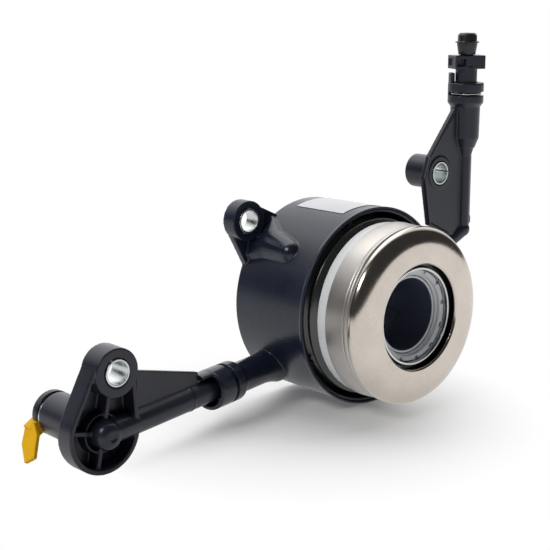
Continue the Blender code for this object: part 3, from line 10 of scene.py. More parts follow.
import bmesh
import bpy
from mathutils import Matrix, Vector


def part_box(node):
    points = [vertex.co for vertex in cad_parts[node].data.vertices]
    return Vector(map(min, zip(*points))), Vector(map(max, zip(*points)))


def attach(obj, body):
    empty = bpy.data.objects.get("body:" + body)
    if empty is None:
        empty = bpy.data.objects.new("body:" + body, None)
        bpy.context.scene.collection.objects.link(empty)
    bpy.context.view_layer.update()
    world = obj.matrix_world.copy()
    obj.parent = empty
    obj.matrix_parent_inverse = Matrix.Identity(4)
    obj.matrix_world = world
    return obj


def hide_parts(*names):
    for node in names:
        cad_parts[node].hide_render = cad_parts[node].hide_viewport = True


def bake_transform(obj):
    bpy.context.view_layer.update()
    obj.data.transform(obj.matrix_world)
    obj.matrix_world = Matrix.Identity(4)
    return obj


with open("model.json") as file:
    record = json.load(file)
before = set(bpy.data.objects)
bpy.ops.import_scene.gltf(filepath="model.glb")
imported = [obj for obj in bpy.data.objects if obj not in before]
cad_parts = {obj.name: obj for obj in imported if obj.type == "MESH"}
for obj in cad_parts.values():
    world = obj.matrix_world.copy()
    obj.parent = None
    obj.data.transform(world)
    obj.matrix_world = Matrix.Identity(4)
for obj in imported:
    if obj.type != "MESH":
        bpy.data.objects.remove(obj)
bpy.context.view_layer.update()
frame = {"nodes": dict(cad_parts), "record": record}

Socket = namedtuple("Socket", "radius wall floor clip mouth")

MM = 0.001
TURN = 2.0 * pi
WELD = 0.000001
WHITE = (1.0, 1.0, 1.0, 1.0)
UP = Vector((0.0, 1.0, 0.0))
FORWARD = Vector((0.0, 0.0, 1.0))

# The bearing's axis, from the frame
CAP_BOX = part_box("bearing_cap")
HOUSING_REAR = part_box("housing")[1].y
AXIS = Vector(((CAP_BOX[0].x + CAP_BOX[1].x) / 2.0, HOUSING_REAR, (CAP_BOX[0].z + CAP_BOX[1].z) / 2.0))
BENCH = Matrix.Translation(AXIS) @ Matrix.Rotation(pi / 2.0, 4, "X")

# Steps round the rings and the pipes
RING_STEPS = 160
PIPE_STEPS = 64

# Edge rounding of turned pieces, and the grid that moulded pieces are rounded on
EDGE = 0.25 * MM
EDGE_STEPS = 3
MOULD_GRID = 0.32 * MM
FINE_GRID = 0.2 * MM

# Clearances and wires
SEAT_GAP = 0.3 * MM
RUNNING_GAP = 0.3 * MM
CLIP_WIRE = 0.55 * MM
CLIP_SLOT = 1.5 * MM

# Housing and sleeve
BODY_RADIUS = 39.8 * MM
BODY_DRAFT = 0.3 * MM
BODY_FRONT_RADIUS = BODY_RADIUS + BODY_DRAFT
LIP_PROUD = 0.4 * MM
LIP_LENGTH = 1.5 * MM
HOUSING_LENGTH = 40.1 * MM
SHROUD_WALL = 1.9 * MM
RIM_STEP = 0.9 * MM
RECESS_FLOOR = 20.0 * MM
CYLINDER_BORE = 23.0 * MM
CYLINDER_OUTER = 26.4 * MM
CYLINDER_FRONT = 34.8 * MM
CHAMBER_FLOOR = 8.0 * MM
RIB_HEIGHT = 2.0 * MM
RIB_THICK = 1.5 * MM
RIB_ANGLES = (109.0, 209.0, 289.0, 29.0)
CORING_DEPTH = 5.5 * MM
CORING_WALL = 3.0 * MM
CORING_COUNT = 8
SLEEVE_BORE = 14.6 * MM
SLEEVE_OUTER = 15.5 * MM
SLEEVE_FRONT = 58.3 * MM
SLEEVE_FLANGE = 18.6 * MM
SLEEVE_FLANGE_THICK = 1.4 * MM

# Ears and bushes
EAR_REACH = 51.5 * MM
EAR_BOSS_RADIUS = 8.1 * MM
EAR_BOSS_LENGTH = 6.5 * MM
EAR_PLATE_THICK = 3.0 * MM
EAR_HALF_SPREAD = radians(18.5)
UPPER_EAR_ANGLE = radians(137.2)
LOWER_EAR_ANGLE = radians(-38.9)
LUMP_LENGTH = 28.4 * MM
LUMP_END = Vector((38.4, 3.5, 23.0)) * MM
LUMP_END_RADIUS = 5.1 * MM
LUMP_MIDDLE = Vector((35.6, 1.4, 10.0)) * MM
LUMP_MIDDLE_RADIUS = 7.9 * MM
LUMP_ROOT = ((40.0, -10.8), (43.0, 4.5), (40.5, 9.8), (36.0, 11.0), (36.0, -12.2))
BOLT_HEAD_RADIUS = 7.6 * MM
BUSH_RADIUS = 5.0 * MM
BUSH_WALL = 0.75 * MM
BUSH_PROUD = 0.3 * MM
BUSH_SLIT = 0.5 * MM
INLET_SLIT_ANGLE = radians(115.0)
BLEED_SLIT_ANGLE = radians(5.0)

# Bearing
BEARING_REAR = 47.3 * MM
BEARING_FRONT = AXIS.y - CAP_BOX[0].y
CAP_RADIUS = (CAP_BOX[1].x - CAP_BOX[0].x) / 2.0
CAP_OPENING = 21.0 * MM
CAP_WALL = 1.2 * MM
CAP_ROUND_WIDTH = 8.6 * MM
CAP_ROUND_DEPTH = 4.9 * MM
CAP_ROUND_POWER = 0.92
CAP_SKIRT = 6.5 * MM
SHELL_REAR_RADIUS = 35.5 * MM
SHELL_FRONT_RADIUS = 35.0 * MM
SHELL_WALL = 1.2 * MM
BEAD_PROUD = 0.45 * MM
BEAD_HEIGHT = 58.2 * MM
BEAD_LENGTH = 2.4 * MM
BALL_CIRCLE = 25.4 * MM
BALL_RADIUS = 3.5 * MM
BALL_HEIGHT = 56.6 * MM
RACE_BORE = 18.5 * MM
RACE_NECK = 19.6 * MM
RACE_DEPTH = 2.3 * MM
SEAL_DEPTH = 3.6 * MM
CARRIER_RADIUS = 34.9 * MM
CARRIER_FRONT = 47.0 * MM
CARRIER_REAR = 43.0 * MM
CARRIER_WEB_REAR = 45.3 * MM
NOSE_RADIUS = 18.2 * MM
RETAINER_REAR = 56.6 * MM
RETAINER_LENGTH = 4.4 * MM
NOTCH_COUNT = 12
NOTCH_DEPTH = 0.8 * MM
NOTCH_WIDTH = 1.8 * MM
NOTCH_PHASE = 0.3
SPRING_RADIUS = 30.0 * MM
SPRING_WIRE = 1.3 * MM
SPRING_TURNS = 4.5
BOOT_RADIUS = 36.1 * MM
BOOT_WALL = 0.8 * MM
BOOT_FOLD = 2.6 * MM
BOOT_FOLDS = 4

# Inlet side
INLET_NECK_ROOT = -7.0 * MM
INLET_ROOT = Vector((-32.3, -23.8, 13.5)) * MM
HUB = Vector((-128.3, -25.8, 33.5)) * MM
NECK_RADIUS = 6.2 * MM
INLET_SOCKET = Socket(radius=8.0 * MM, wall=1.6 * MM, floor=24.0 * MM, clip=31.5 * MM, mouth=41.0 * MM)
TONGUE_LENGTH = 6.0 * MM
TONGUE_HALF_SPREAD = radians(26.0)
PIPE_RADIUS = 4.75 * MM
PARTING_PLACE = 53.0 * MM
KNUCKLE_RADIUS = 5.2 * MM
KNUCKLE_FRONT = 39.4 * MM
HUB_RADIUS = 7.4 * MM
HUB_WALL = 0.9 * MM
HUB_MOAT = 4.0 * MM
BRACKET_REAR = 26.8 * MM
BRACKET_DEPTH = 8.0 * MM
BRACKET_RADIUS = 14.7 * MM
BRACKET_WALL = 1.9 * MM
BRACKET_FLOOR = 1.5 * MM
BRACKET_RIB = 1.7 * MM
BRACKET_BOSS = Vector((-123.8, -4.0, 0.0)) * MM
BRACKET_BOSS_RADIUS = 8.9 * MM
BRACKET_BOSS_PROUD = 1.6 * MM
WEB_THICK = 2.4 * MM
WEB_START = 47.8 * MM
WEB_LOW_HEIGHT = 8.4 * MM
WEB_HIGH_HEIGHT = 17.4 * MM
WEB_END = 82.0 * MM
PORT_RADIUS = 8.3 * MM
PORT_BORE = 5.6 * MM
PORT = Socket(radius=PORT_RADIUS, wall=PORT_RADIUS - PORT_BORE, floor=20.0 * MM, clip=3.5 * MM,
              mouth=-0.5 * MM)
PLUG_RADIUS = 4.9 * MM
PLUG_LENGTH = 13.0 * MM
PLUG_HEAD = 6.4 * MM
PLUG_HEAD_THICK = 1.4 * MM
PLUG_ARM_ANGLE = radians(212.0)
PLUG_ARM_WIDTH = 5.4 * MM
PLUG_ARM_REACH = 11.2 * MM
TAB_TOP_ANGLE = radians(199.0)
TAB_END = Vector((-143.6, -38.7, 9.4)) * MM
TAB_TOP_WIDTH = 4.6 * MM
TAB_MIDDLE_WIDTH = 8.2 * MM
TAB_END_WIDTH = 5.0 * MM
TAB_THICK = 1.5 * MM
TAB_MIDDLE_SHARE = 0.42

# Bleed side
BLEED_NECK_ROOT = -6.0 * MM
BLEED_ROOT = Vector((39.7, -3.0, 14.0)) * MM
ELBOW = Vector((73.5, 20.3, 23.0)) * MM
STUB_RADIUS = 3.5 * MM
TUBE_RADIUS = 3.2 * MM
ELBOW_STEP = 0.4 * MM
BLEED_NECK_RADIUS = 5.8 * MM
BLEED_SOCKET = Socket(radius=7.6 * MM, wall=1.6 * MM, floor=4.0 * MM, clip=11.0 * MM, mouth=18.0 * MM)
BARREL_RADIUS = 6.5 * MM
BARREL_LOW = 61.3 * MM
BARREL_HIGH = 75.0 * MM
CONE_STEP = 57.0 * MM
CONE_LOW = 53.2 * MM
TOP_SOCKET = Socket(radius=7.8 * MM, wall=2.2 * MM, floor=66.0 * MM, clip=80.6 * MM, mouth=85.4 * MM)
TOP_SOCKET_LOW = 76.7 * MM
TOP_TONGUE = 4.2 * MM
TOP_TONGUE_ANGLE = radians(318.0)
BLEED_BOSS = Vector((56.4, 47.2, 0.0)) * MM
BLEED_BOSS_RADIUS = 7.2 * MM
BLEED_BOSS_REAR = 10.3 * MM
BLEED_PLATE_THICK = 2.0 * MM
BLEED_RING_PROUD = 0.5 * MM
BORDER_WIDTH = 1.0 * MM
BORDER_INSET = 0.2 * MM
BORDER_PROUD = 0.6 * MM
TUBE_RIB_REACH = 1.3 * MM
TUBE_RIB_THICK = 1.8 * MM
VALVE_STEM = 4.7 * MM
BLOCK_LOW = 91.3 * MM
BLOCK_HEIGHT = 5.8 * MM
BLOCK_WIDTH = 13.9 * MM
BLOCK_DEPTH = 9.0 * MM
BLOCK_TURN = radians(-27.5)
NIPPLE_RADIUS = 2.6 * MM
CAP_TOP = 106.8 * MM
DUST_CAP_RADIUS = 4.4 * MM
DUST_RIM_RADIUS = 5.2 * MM

# Clips and label
CLIP_GAP = 0.15 * MM
CLIP_LEG = 2.3 * MM
CLIP_SHOULDER = 2.6 * MM
CLIP_SINK = 1.3 * MM
PORT_CLIP_SINK = 0.35 * MM
SLOT_HALF_SPAN = radians(123.0)
LABEL_LOW_ANGLE = radians(62.0)
LABEL_HIGH_ANGLE = radians(107.0)
LABEL_REAR = 6.5 * MM
LABEL_FRONT = 33.2 * MM
LABEL_THICK = 0.15 * MM
LABEL_GAP = 0.05 * MM

# The bright field of the studio: where it is, how far it reaches and its light
FIELD_AIM = (0.38, 0.68, 0.58)
FIELD_EDGE = 0.52
FIELD_STEP = 0.58
FIELD_CORE = 0.92
FIELD_DARK = 0.045
FIELD_LOW = 0.6
FIELD_BRIGHT = 1.45

# The floor for the camera, and as shiny pieces mirror it from the left rear to the right front
FLOOR_REACH = 3.0
FLOOR_COLOUR = (0.90, 0.90, 0.90)
FLOOR_NEAR = 0.10
FLOOR_SHADE_REACH = (0.03, 0.095)
MIRROR_LINE = (0.69, -0.72, 0.0)
MIRROR_REACH = (-0.17, 0.30)
MIRROR_DARK = 0.06
MIRROR_BRIGHT = 1.15

# The photograph's viewpoint, fitted to the object's measured points, and what the lamps point at
CAMERA_PLACE = AXIS + Vector((-371.31, -393.33, 127.0)) * MM
CAMERA_TURN = (radians(77.41), 0.0, radians(-41.93))
CAMERA_SENSOR = 36.0
CAMERA_LENS = 85.09
CAMERA_NEAR = 0.01
LIGHT_AIM = Vector((0.0, 0.0, 0.06))

tools = []


def new_object(name, data):
    piece = bpy.data.objects.new(name, data)
    bpy.context.scene.collection.objects.link(piece)
    return piece


def shape(bm, place=Matrix()):
    """A mesh object from a bmesh, in the bench frame."""
    mesh = bpy.data.meshes.new("shape")
    bm.to_mesh(mesh)
    bm.free()
    mesh.transform(place)
    return new_object("shape", mesh)


def along(point, axis, side=UP):
    """A frame at a point whose z runs along an axis and whose y leans to a side."""
    z = axis.normalized()
    x = side.cross(z).normalized()
    y = z.cross(x)
    turned = Matrix((x, y, z)).transposed().to_4x4()
    turned.translation = point
    return turned


def polar(radius, angle, height=0.0):
    return Vector((radius * cos(angle), radius * sin(angle), height))


def rounded(profile, radius=EDGE, closed=True):
    """A profile with each real corner replaced by a short curve."""
    result = []
    count = len(profile)
    for index, point in enumerate(profile):
        corner = Vector(point)
        if not closed and index in (0, count - 1):
            result.append(tuple(corner))
            continue
        before = Vector(profile[index - 1]) - corner
        after = Vector(profile[(index + 1) % count]) - corner
        angle = before.angle(after)
        if angle > radians(160.0):
            result.append(tuple(corner))
            continue
        reach = min(radius / tan(angle / 2.0), 0.45 * before.length, 0.45 * after.length)
        first = corner + before.normalized() * reach
        last = corner + after.normalized() * reach
        for step in range(EDGE_STEPS + 1):
            t = step / EDGE_STEPS
            result.append(tuple(first * (1 - t) ** 2 + corner * 2 * t * (1 - t) + last * t ** 2))
    return result


def spun(profile, steps=RING_STEPS, ring=True):
    """A body turned about z from (radius, height) points, as a ring or from axis to axis."""
    bm = bmesh.new()
    points = [bm.verts.new((radius, 0.0, height)) for radius, height in profile]
    edges = [bm.edges.new(pair) for pair in zip(points, points[1:])]
    if ring:
        edges.append(bm.edges.new((points[-1], points[0])))
    bmesh.ops.spin(bm, geom=points + edges, cent=(0, 0, 0), axis=(0, 0, 1), angle=TURN,
                   steps=steps, use_merge=True, use_duplicate=False)
    bmesh.ops.remove_doubles(bm, verts=bm.verts, dist=WELD)
    bmesh.ops.recalc_face_normals(bm, faces=bm.faces)
    return bm


def lathe(profile):
    """A slim solid turned about z, from axis to axis."""
    return spun(profile, PIPE_STEPS, ring=False)


def prism(outline, low, high):
    """A flat outline raised along z."""
    bm = bmesh.new()
    face = bm.faces.new([bm.verts.new((x, y, low)) for x, y in outline])
    raised = bmesh.ops.extrude_face_region(bm, geom=[face])["geom"]
    top = [item for item in raised if isinstance(item, bmesh.types.BMVert)]
    bmesh.ops.translate(bm, vec=(0.0, 0.0, high - low), verts=top)
    bmesh.ops.recalc_face_normals(bm, faces=bm.faces)
    return bm


def arc(centre, radius, start, end, count):
    angles = [start + (end - start) * i / count for i in range(count + 1)]
    return [(centre[0] + radius * cos(a), centre[1] + radius * sin(a)) for a in angles]


def section_arc(centre, radius, start, end, count):
    """Points round an arc of a turned profile, with angles in degrees."""
    return arc(centre, radius, radians(start), radians(end), count)


def rectangle(left, low, right, high):
    """The corners of a flat rectangle."""
    return [(left, low), (right, low), (right, high), (left, high)]


def spin(angle):
    """A turn about z."""
    return Matrix.Rotation(angle, 4, "Z")


def rod(radius, low, high, phase=0.0):
    return prism(arc((0.0, 0.0), radius, phase, phase + TURN, PIPE_STEPS)[:-1], low, high)


def bore(radius, low, high):
    """A round cutter, turned by half a facet so that no corner meets one of the piece it cuts."""
    return rod(radius, low, high, TURN / PIPE_STEPS / 2.0)


def sector(inner, outer, start, end, low, high, count=24):
    outline = arc((0, 0), outer, start, end, count) + arc((0, 0), inner, end, start, count)
    return prism(outline, low, high)


def ball(centre, radius):
    """Points on a sphere, for a hull."""
    points = []
    for level in range(-6, 7):
        lift = pi / 2.0 * level / 6
        for step in range(24):
            points.append(centre + polar(radius * cos(lift), TURN * step / 24, radius * sin(lift)))
    return points


def hull(points):
    """The convex body round some points."""
    bm = bmesh.new()
    made = bmesh.ops.convex_hull(bm, input=[bm.verts.new(point) for point in points])
    loose = set(made["geom_interior"] + made["geom_unused"])
    bmesh.ops.delete(bm, geom=[vert for vert in bm.verts if vert in loose], context="VERTS")
    bmesh.ops.remove_doubles(bm, verts=bm.verts, dist=WELD)
    bmesh.ops.recalc_face_normals(bm, faces=bm.faces)
    return bm


def hull_of_circles(big_centre, big_radius, small_centre, small_radius, count):
    """The outline round two circles and their common tangents."""
    reach = Vector(small_centre[:2]) - Vector(big_centre[:2])
    heading = atan2(reach.y, reach.x)
    lean = acos((big_radius - small_radius) / reach.length)
    big = arc(big_centre, big_radius, heading + lean, heading + TURN - lean, count)
    small = arc(small_centre, small_radius, heading - lean, heading + lean, count)
    return big + small


def modify(target, bm, place, operation):
    tool = shape(bm, place)
    change = target.modifiers.new("shape", "BOOLEAN")
    change.operation = operation
    change.solver = "EXACT"
    change.object = tool
    tools.append(tool)


def join(target, bm, place=Matrix()):
    modify(target, bm, place, "UNION")


def cut(target, bm, place=Matrix()):
    modify(target, bm, place, "DIFFERENCE")


def mesh_of(piece):
    """What an object shows, with its modifiers, as a mesh."""
    bpy.context.view_layer.update()
    graph = bpy.context.evaluated_depsgraph_get()
    return bpy.data.meshes.new_from_object(piece.evaluated_get(graph))


def settled(piece):
    """Apply a piece's modifiers and drop the shapes that they used."""
    mesh = mesh_of(piece)
    piece.modifiers.clear()
    piece.data = mesh
    while tools:
        bpy.data.objects.remove(tools.pop(), do_unlink=True)


def moulded(piece, grid=MOULD_GRID, passes=3, keep=0.5):
    """Round every edge and inner corner of a joined shape, as a moulding has them."""
    settled(piece)
    remesh = piece.modifiers.new("grid", "REMESH")
    remesh.mode = "VOXEL"
    remesh.voxel_size = grid
    soft = piece.modifiers.new("round", "SMOOTH")
    soft.factor = 0.5
    soft.iterations = passes
    thin = piece.modifiers.new("thin", "DECIMATE")
    thin.ratio = keep
    settled(piece)


def dress(piece, name, finish, angle=None):
    """Into the world, with its shading and its material."""
    piece.name = name
    piece.data.transform(BENCH)
    piece.data.materials.clear()
    piece.data.materials.append(MATERIALS[finish])
    piece.data.shade_smooth()
    if angle:
        piece.data.set_sharp_from_angle(angle=radians(angle))


def stand_for(piece, name, body, slot, angle=None, finish=None):
    """Finish a piece, let it ride on its body and hide the plain solid that it stands for."""
    dress(piece, f"{name}_fine", finish or slot, angle)
    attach(piece, body)
    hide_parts(name)


def shader_of(material):
    return material.node_tree.nodes["Principled BSDF"]


def feed(owner, made, inputs):
    """Set a node's inputs, by name or number, to values or to other nodes' outputs."""
    for key, value in inputs.items():
        if isinstance(value, bpy.types.NodeSocket):
            owner.node_tree.links.new(value, made.inputs[key])
        else:
            made.inputs[key].default_value = value


def node(owner, kind, inputs, **settings):
    """A shader node of a material or of the world."""
    made = owner.node_tree.nodes.new(f"ShaderNode{kind}")
    for key, value in settings.items():
        setattr(made, key, value)
    feed(owner, made, inputs)
    return made


def maths(owner, operation, *values):
    """The output of a math node on values or other outputs."""
    return node(owner, "Math", dict(enumerate(values)), operation=operation).outputs[0]


def new_material(name, colour, roughness, metallic=0.0):
    material = bpy.data.materials.new(name)
    material.use_nodes = True
    feed(material, shader_of(material),
         {"Base Color": (*colour, 1.0), "Roughness": roughness, "Metallic": metallic})
    return material


def object_place(material):
    return node(material, "TexCoord", {}).outputs["Object"]


def noise(material, place, scale, detail=3.0, roughness=0.5):
    inputs = {"Vector": place, "Scale": scale, "Detail": detail, "Roughness": roughness}
    return node(material, "TexNoise", inputs).outputs["Fac"]


def spread(owner, value, low, high, from_low=0.3, from_high=0.7, kind="LINEAR"):
    """A value stretched from one range, by default the middle of noise, to another."""
    inputs = {"Value": value, "From Min": from_low, "From Max": from_high, "To Min": low, "To Max": high}
    return node(owner, "MapRange", inputs, interpolation_type=kind).outputs["Result"]


def vary_roughness(material, value, low, high):
    feed(material, shader_of(material), {"Roughness": spread(material, value, low, high)})


def vary_colour(material, value, low, high):
    """The base colour between two colours."""
    mix = node(material, "Mix", {0: value, 6: (*low, 1.0), 7: (*high, 1.0)}, data_type="RGBA")
    feed(material, shader_of(material), {"Base Color": mix.outputs[2]})


def add_bump(material, value, strength, distance, before=None):
    bump = node(material, "Bump", {"Height": value, "Strength": strength, "Distance": distance})
    if before:
        feed(material, bump, {"Normal": before})
    feed(material, shader_of(material), {"Normal": bump.outputs["Normal"]})
    return bump.outputs["Normal"]


def shade_of(colour, factor):
    return tuple(part * factor for part in colour)


# Scales of the noise in the finishes, in waves to a metre
FLOW_SCALE = 38.0
STAIN_SCALE = 55.0
CLOUD_SCALE = 160.0
RIPPLE_SCALE = 210.0
PIT_SCALE = 900.0
RING_SCALE = 2400.0
GRAIN_SCALE = 2600.0
SPARKLE_SCALE = 3800.0


def plastic(name, colour, roughness, grain=0.12, gloss=0.5):
    """Moulded plastic: fine grain, soft flow marks and uneven gloss."""
    material = new_material(name, colour, roughness)
    feed(material, shader_of(material), {"Specular IOR Level": gloss})
    place = object_place(material)
    flow = noise(material, place, FLOW_SCALE, 4.0)
    vary_colour(material, flow, shade_of(colour, 0.8), shade_of(colour, 1.25))
    vary_roughness(material, flow, roughness - 0.06, roughness + 0.08)
    first = add_bump(material, noise(material, place, RIPPLE_SCALE, 2.0), 0.25, 0.04 * MM)
    add_bump(material, noise(material, place, GRAIN_SCALE, 2.0), grain, 0.05 * MM, first)
    return material


def ring_place(material):
    """Coordinates that change only with the radius and the height on the bearing's axis."""
    split = node(material, "SeparateXYZ", {0: object_place(material)}).outputs
    squares = []
    for output, centre in (("X", AXIS.x), ("Z", AXIS.z)):
        away = maths(material, "SUBTRACT", split[output], centre)
        squares.append(maths(material, "MULTIPLY", away, away))
    radius = maths(material, "SQRT", maths(material, "ADD", *squares))
    return node(material, "CombineXYZ", {0: radius, 1: split["Y"]}).outputs[0]


def turned_steel(name, colour, roughness, speckle=0.2):
    """Pressed or turned steel: marks round the axis, soft stains and a fine sparkle."""
    material = new_material(name, colour, roughness, 1.0)
    place = object_place(material)
    stain = noise(material, place, STAIN_SCALE, 5.0, 0.6)
    grain = noise(material, place, GRAIN_SCALE, 2.0, 0.6)
    mixed = maths(material, "ADD", spread(material, stain, 0.0, 0.6), spread(material, grain, 0.0, 0.4))
    vary_colour(material, mixed, shade_of(colour, 0.84), shade_of(colour, 1.12))
    vary_roughness(material, stain, roughness - 0.04, roughness + 0.07)
    rings = add_bump(material, noise(material, ring_place(material), RING_SCALE, 2.0), 0.08, 0.02 * MM)
    add_bump(material, noise(material, place, SPARKLE_SCALE, 2.0, 0.6), speckle, 0.012 * MM, rings)
    return material


def sleeve_steel(name, colour, roughness):
    """Dark coated steel, coloured light grey along its front edge."""
    material = plastic(name, colour, roughness)
    split = node(material, "SeparateXYZ", {0: object_place(material)}).outputs
    front = AXIS.y - SLEEVE_FRONT
    # The colour turns light grey along the sleeve's front edge
    pale_front_edge = spread(material, split["Y"], 1.0, 0.0, front + 0.25 * MM, front + 0.45 * MM)
    vary_colour(material, pale_front_edge, colour, (0.75, 0.77, 0.82))
    return material


def plated_steel(name, colour, roughness):
    """Bright plating with faint cloudiness."""
    material = new_material(name, colour, roughness, 1.0)
    place = object_place(material)
    cloud = noise(material, place, CLOUD_SCALE, 4.0)
    vary_colour(material, cloud, shade_of(colour, 0.85), shade_of(colour, 1.1))
    vary_roughness(material, cloud, roughness - 0.05, roughness + 0.1)
    add_bump(material, noise(material, place, PIT_SCALE, 3.0), 0.15, 0.03 * MM)
    return material


# One finish for each slot of the record, and the shell's and the boot's own: maker, colour,
# roughness and what else the maker takes
FINISHES = {
    "housing_plastic": (plastic, (0.012, 0.016, 0.033), 0.28, 0.08, 0.45),
    "pipe_plastic": (plastic, (0.016, 0.018, 0.032), 0.31, 0.08, 0.45),
    "piston_plastic": (plastic, (0.03, 0.03, 0.035), 0.5),
    "dark_steel": (sleeve_steel, (0.060, 0.068, 0.115), 0.30),
    "bush_steel": (plated_steel, (0.66, 0.69, 0.69), 0.26),
    "label_film": (plastic, (0.66, 0.66, 0.69), 0.40, 0.03, 0.3),
    "rubber": (plastic, (0.012, 0.013, 0.015), 0.28, 0.01),
    "spring_steel": (plated_steel, (0.45, 0.44, 0.43), 0.3),
    "pale_plastic": (plastic, (0.90, 0.93, 0.94), 0.40, 0.05),
    "race_steel": (turned_steel, (0.66, 0.66, 0.66), 0.24, 0.05),
    "retainer_plastic": (plastic, (0.72, 0.74, 0.76), 0.30, 0.05),
    "bearing_steel": (turned_steel, (0.64, 0.58, 0.52), 0.16, 0.75),
    "shell_finish": (turned_steel, (0.50, 0.475, 0.45), 0.40, 0.25),
    "boot_finish": (plastic, (0.024, 0.026, 0.025), 0.22, 0.03, 0.9),
    "cage_plastic": (plastic, (0.45, 0.30, 0.12), 0.5),
    "yellow_plastic": (plastic, (0.84, 0.46, 0.004), 0.45, 0.12, 0.12),
    "clip_wire": (plated_steel, (0.72, 0.72, 0.72), 0.25),
}


def body_section():
    lip = BODY_FRONT_RADIUS + LIP_PROUD
    hole = SLEEVE_OUTER + SEAT_GAP
    recess = SLEEVE_FLANGE + SEAT_GAP
    recess_depth = SLEEVE_FLANGE_THICK + SEAT_GAP
    chamfer = 0.6 * MM
    return [
        (recess, 0.0), (BODY_RADIUS - chamfer, 0.0), (BODY_RADIUS, chamfer),
        (BODY_FRONT_RADIUS, HOUSING_LENGTH - LIP_LENGTH),
        (lip, HOUSING_LENGTH - LIP_LENGTH + LIP_PROUD), (lip, HOUSING_LENGTH), (hole, HOUSING_LENGTH),
        (hole, recess_depth), (recess, recess_depth),
    ]


def hollow_section():
    """The cutter for the cylinder's bore and the space round the cylinder."""
    shroud = BODY_FRONT_RADIUS - SHROUD_WALL
    step = BODY_FRONT_RADIUS + LIP_PROUD - RIM_STEP
    inner = SLEEVE_OUTER - SEAT_GAP
    beyond = HOUSING_LENGTH + 1.0 * MM
    return [
        (inner, CHAMBER_FLOOR), (CYLINDER_BORE, CHAMBER_FLOOR), (CYLINDER_BORE, CYLINDER_FRONT),
        (CYLINDER_OUTER, CYLINDER_FRONT), (CYLINDER_OUTER, RECESS_FLOOR), (shroud, RECESS_FLOOR),
        (shroud, HOUSING_LENGTH - RIM_STEP), (step, HOUSING_LENGTH - RIM_STEP), (step, beyond),
        (inner, beyond),
    ]


def ear_outline():
    rim = EAR_BOSS_RADIUS - SEAT_GAP
    root = polar(BODY_RADIUS, EAR_HALF_SPREAD)
    reach = Vector((EAR_REACH - root.x, root.y))
    lean = acos(rim / reach.length)
    edge = pi - atan2(reach.y, reach.x) - lean
    inner = root.x - 3.0 * MM
    tip = arc((EAR_REACH, 0.0), rim, -edge, edge, 24)
    return [(inner, -root.y), (root.x, -root.y)] + tip + [(root.x, root.y), (inner, root.y)]


def add_ear(housing, angle, side):
    """Plate, boss, the gusset that runs out along the body, and room for the bolt's head."""
    turned = spin(angle)
    join(housing, prism(ear_outline(), 0.0, EAR_PLATE_THICK), turned)
    boss = Matrix.Translation(polar(EAR_REACH, angle))
    join(housing, rod(EAR_BOSS_RADIUS, 0.0, EAR_BOSS_LENGTH), boss)
    flip = turned @ Matrix.Diagonal((1.0, side, 1.0, 1.0))
    middle = ball(LUMP_MIDDLE, LUMP_MIDDLE_RADIUS)
    root = [Vector((x * MM, y * MM, EAR_PLATE_THICK - 0.4 * MM)) for x, y in LUMP_ROOT]
    for points in (root + middle, middle + ball(LUMP_END, LUMP_END_RADIUS)):
        join(housing, hull([flip @ point for point in points if point.z > 1.0 * MM]))
    cut(housing, bore(BUSH_RADIUS + SEAT_GAP, -1.0 * MM, EAR_BOSS_LENGTH + 1.0 * MM), boss)
    cut(housing, bore(BOLT_HEAD_RADIUS, EAR_BOSS_LENGTH + 0.15 * MM, LUMP_LENGTH), boss)


def socket_section(socket, root, neck):
    """A port boss: a neck that flares into a round socket."""
    outer = socket.radius
    floor = socket.floor
    mouth = socket.mouth
    flare = 2.2 * MM
    edge = 0.4 * MM
    base = [(0.0, root), (neck + 1.8 * MM, root), (neck + 1.6 * MM, -1.0 * MM), (neck + 0.8 * MM, 2.0 * MM),
            (neck + 0.25 * MM, 5.0 * MM), (neck, 8.0 * MM)]
    if floor < 9.0 * MM:
        base = [(0.0, root), (neck, root)]
    return base + [(neck, floor + flare - 3.0 * MM), (outer, floor + flare),
            (outer, mouth - edge), (outer - edge, mouth), (0.0, mouth)]


def clip_slot(socket):
    inner = socket.radius - socket.wall - 0.8 * MM
    low = socket.clip - CLIP_SLOT / 2.0
    return sector(inner, socket.radius + 1.0 * MM, pi / 2.0 - SLOT_HALF_SPAN, pi / 2.0 + SLOT_HALF_SPAN,
                  low, low + CLIP_SLOT)


def tongue(socket, length, middle):
    """The part of a socket's wall that stands on past its mouth."""
    return sector(socket.radius - socket.wall + 0.15 * MM, socket.radius - 0.15 * MM,
                  middle - TONGUE_HALF_SPREAD, middle + TONGUE_HALF_SPREAD,
                  socket.mouth - 2.0 * MM, socket.mouth + length, 8)


# The ways of the two pipes from the housing, of the upper socket and of the connector
INLET = along(INLET_ROOT, HUB - INLET_ROOT, FORWARD)
BLEED = along(BLEED_ROOT, ELBOW - BLEED_ROOT, FORWARD)
TOP = along(Vector((ELBOW.x, 0.0, ELBOW.z)), UP, FORWARD)
HUB_FOOT = Vector((HUB.x, HUB.y, 0.0))
CONNECTOR = along(HUB_FOOT, FORWARD, Vector((-1.0, 0.0, 0.0)))
PIPE_LENGTH = (HUB - INLET_ROOT).length
STUB_LENGTH = (ELBOW - BLEED_ROOT).length


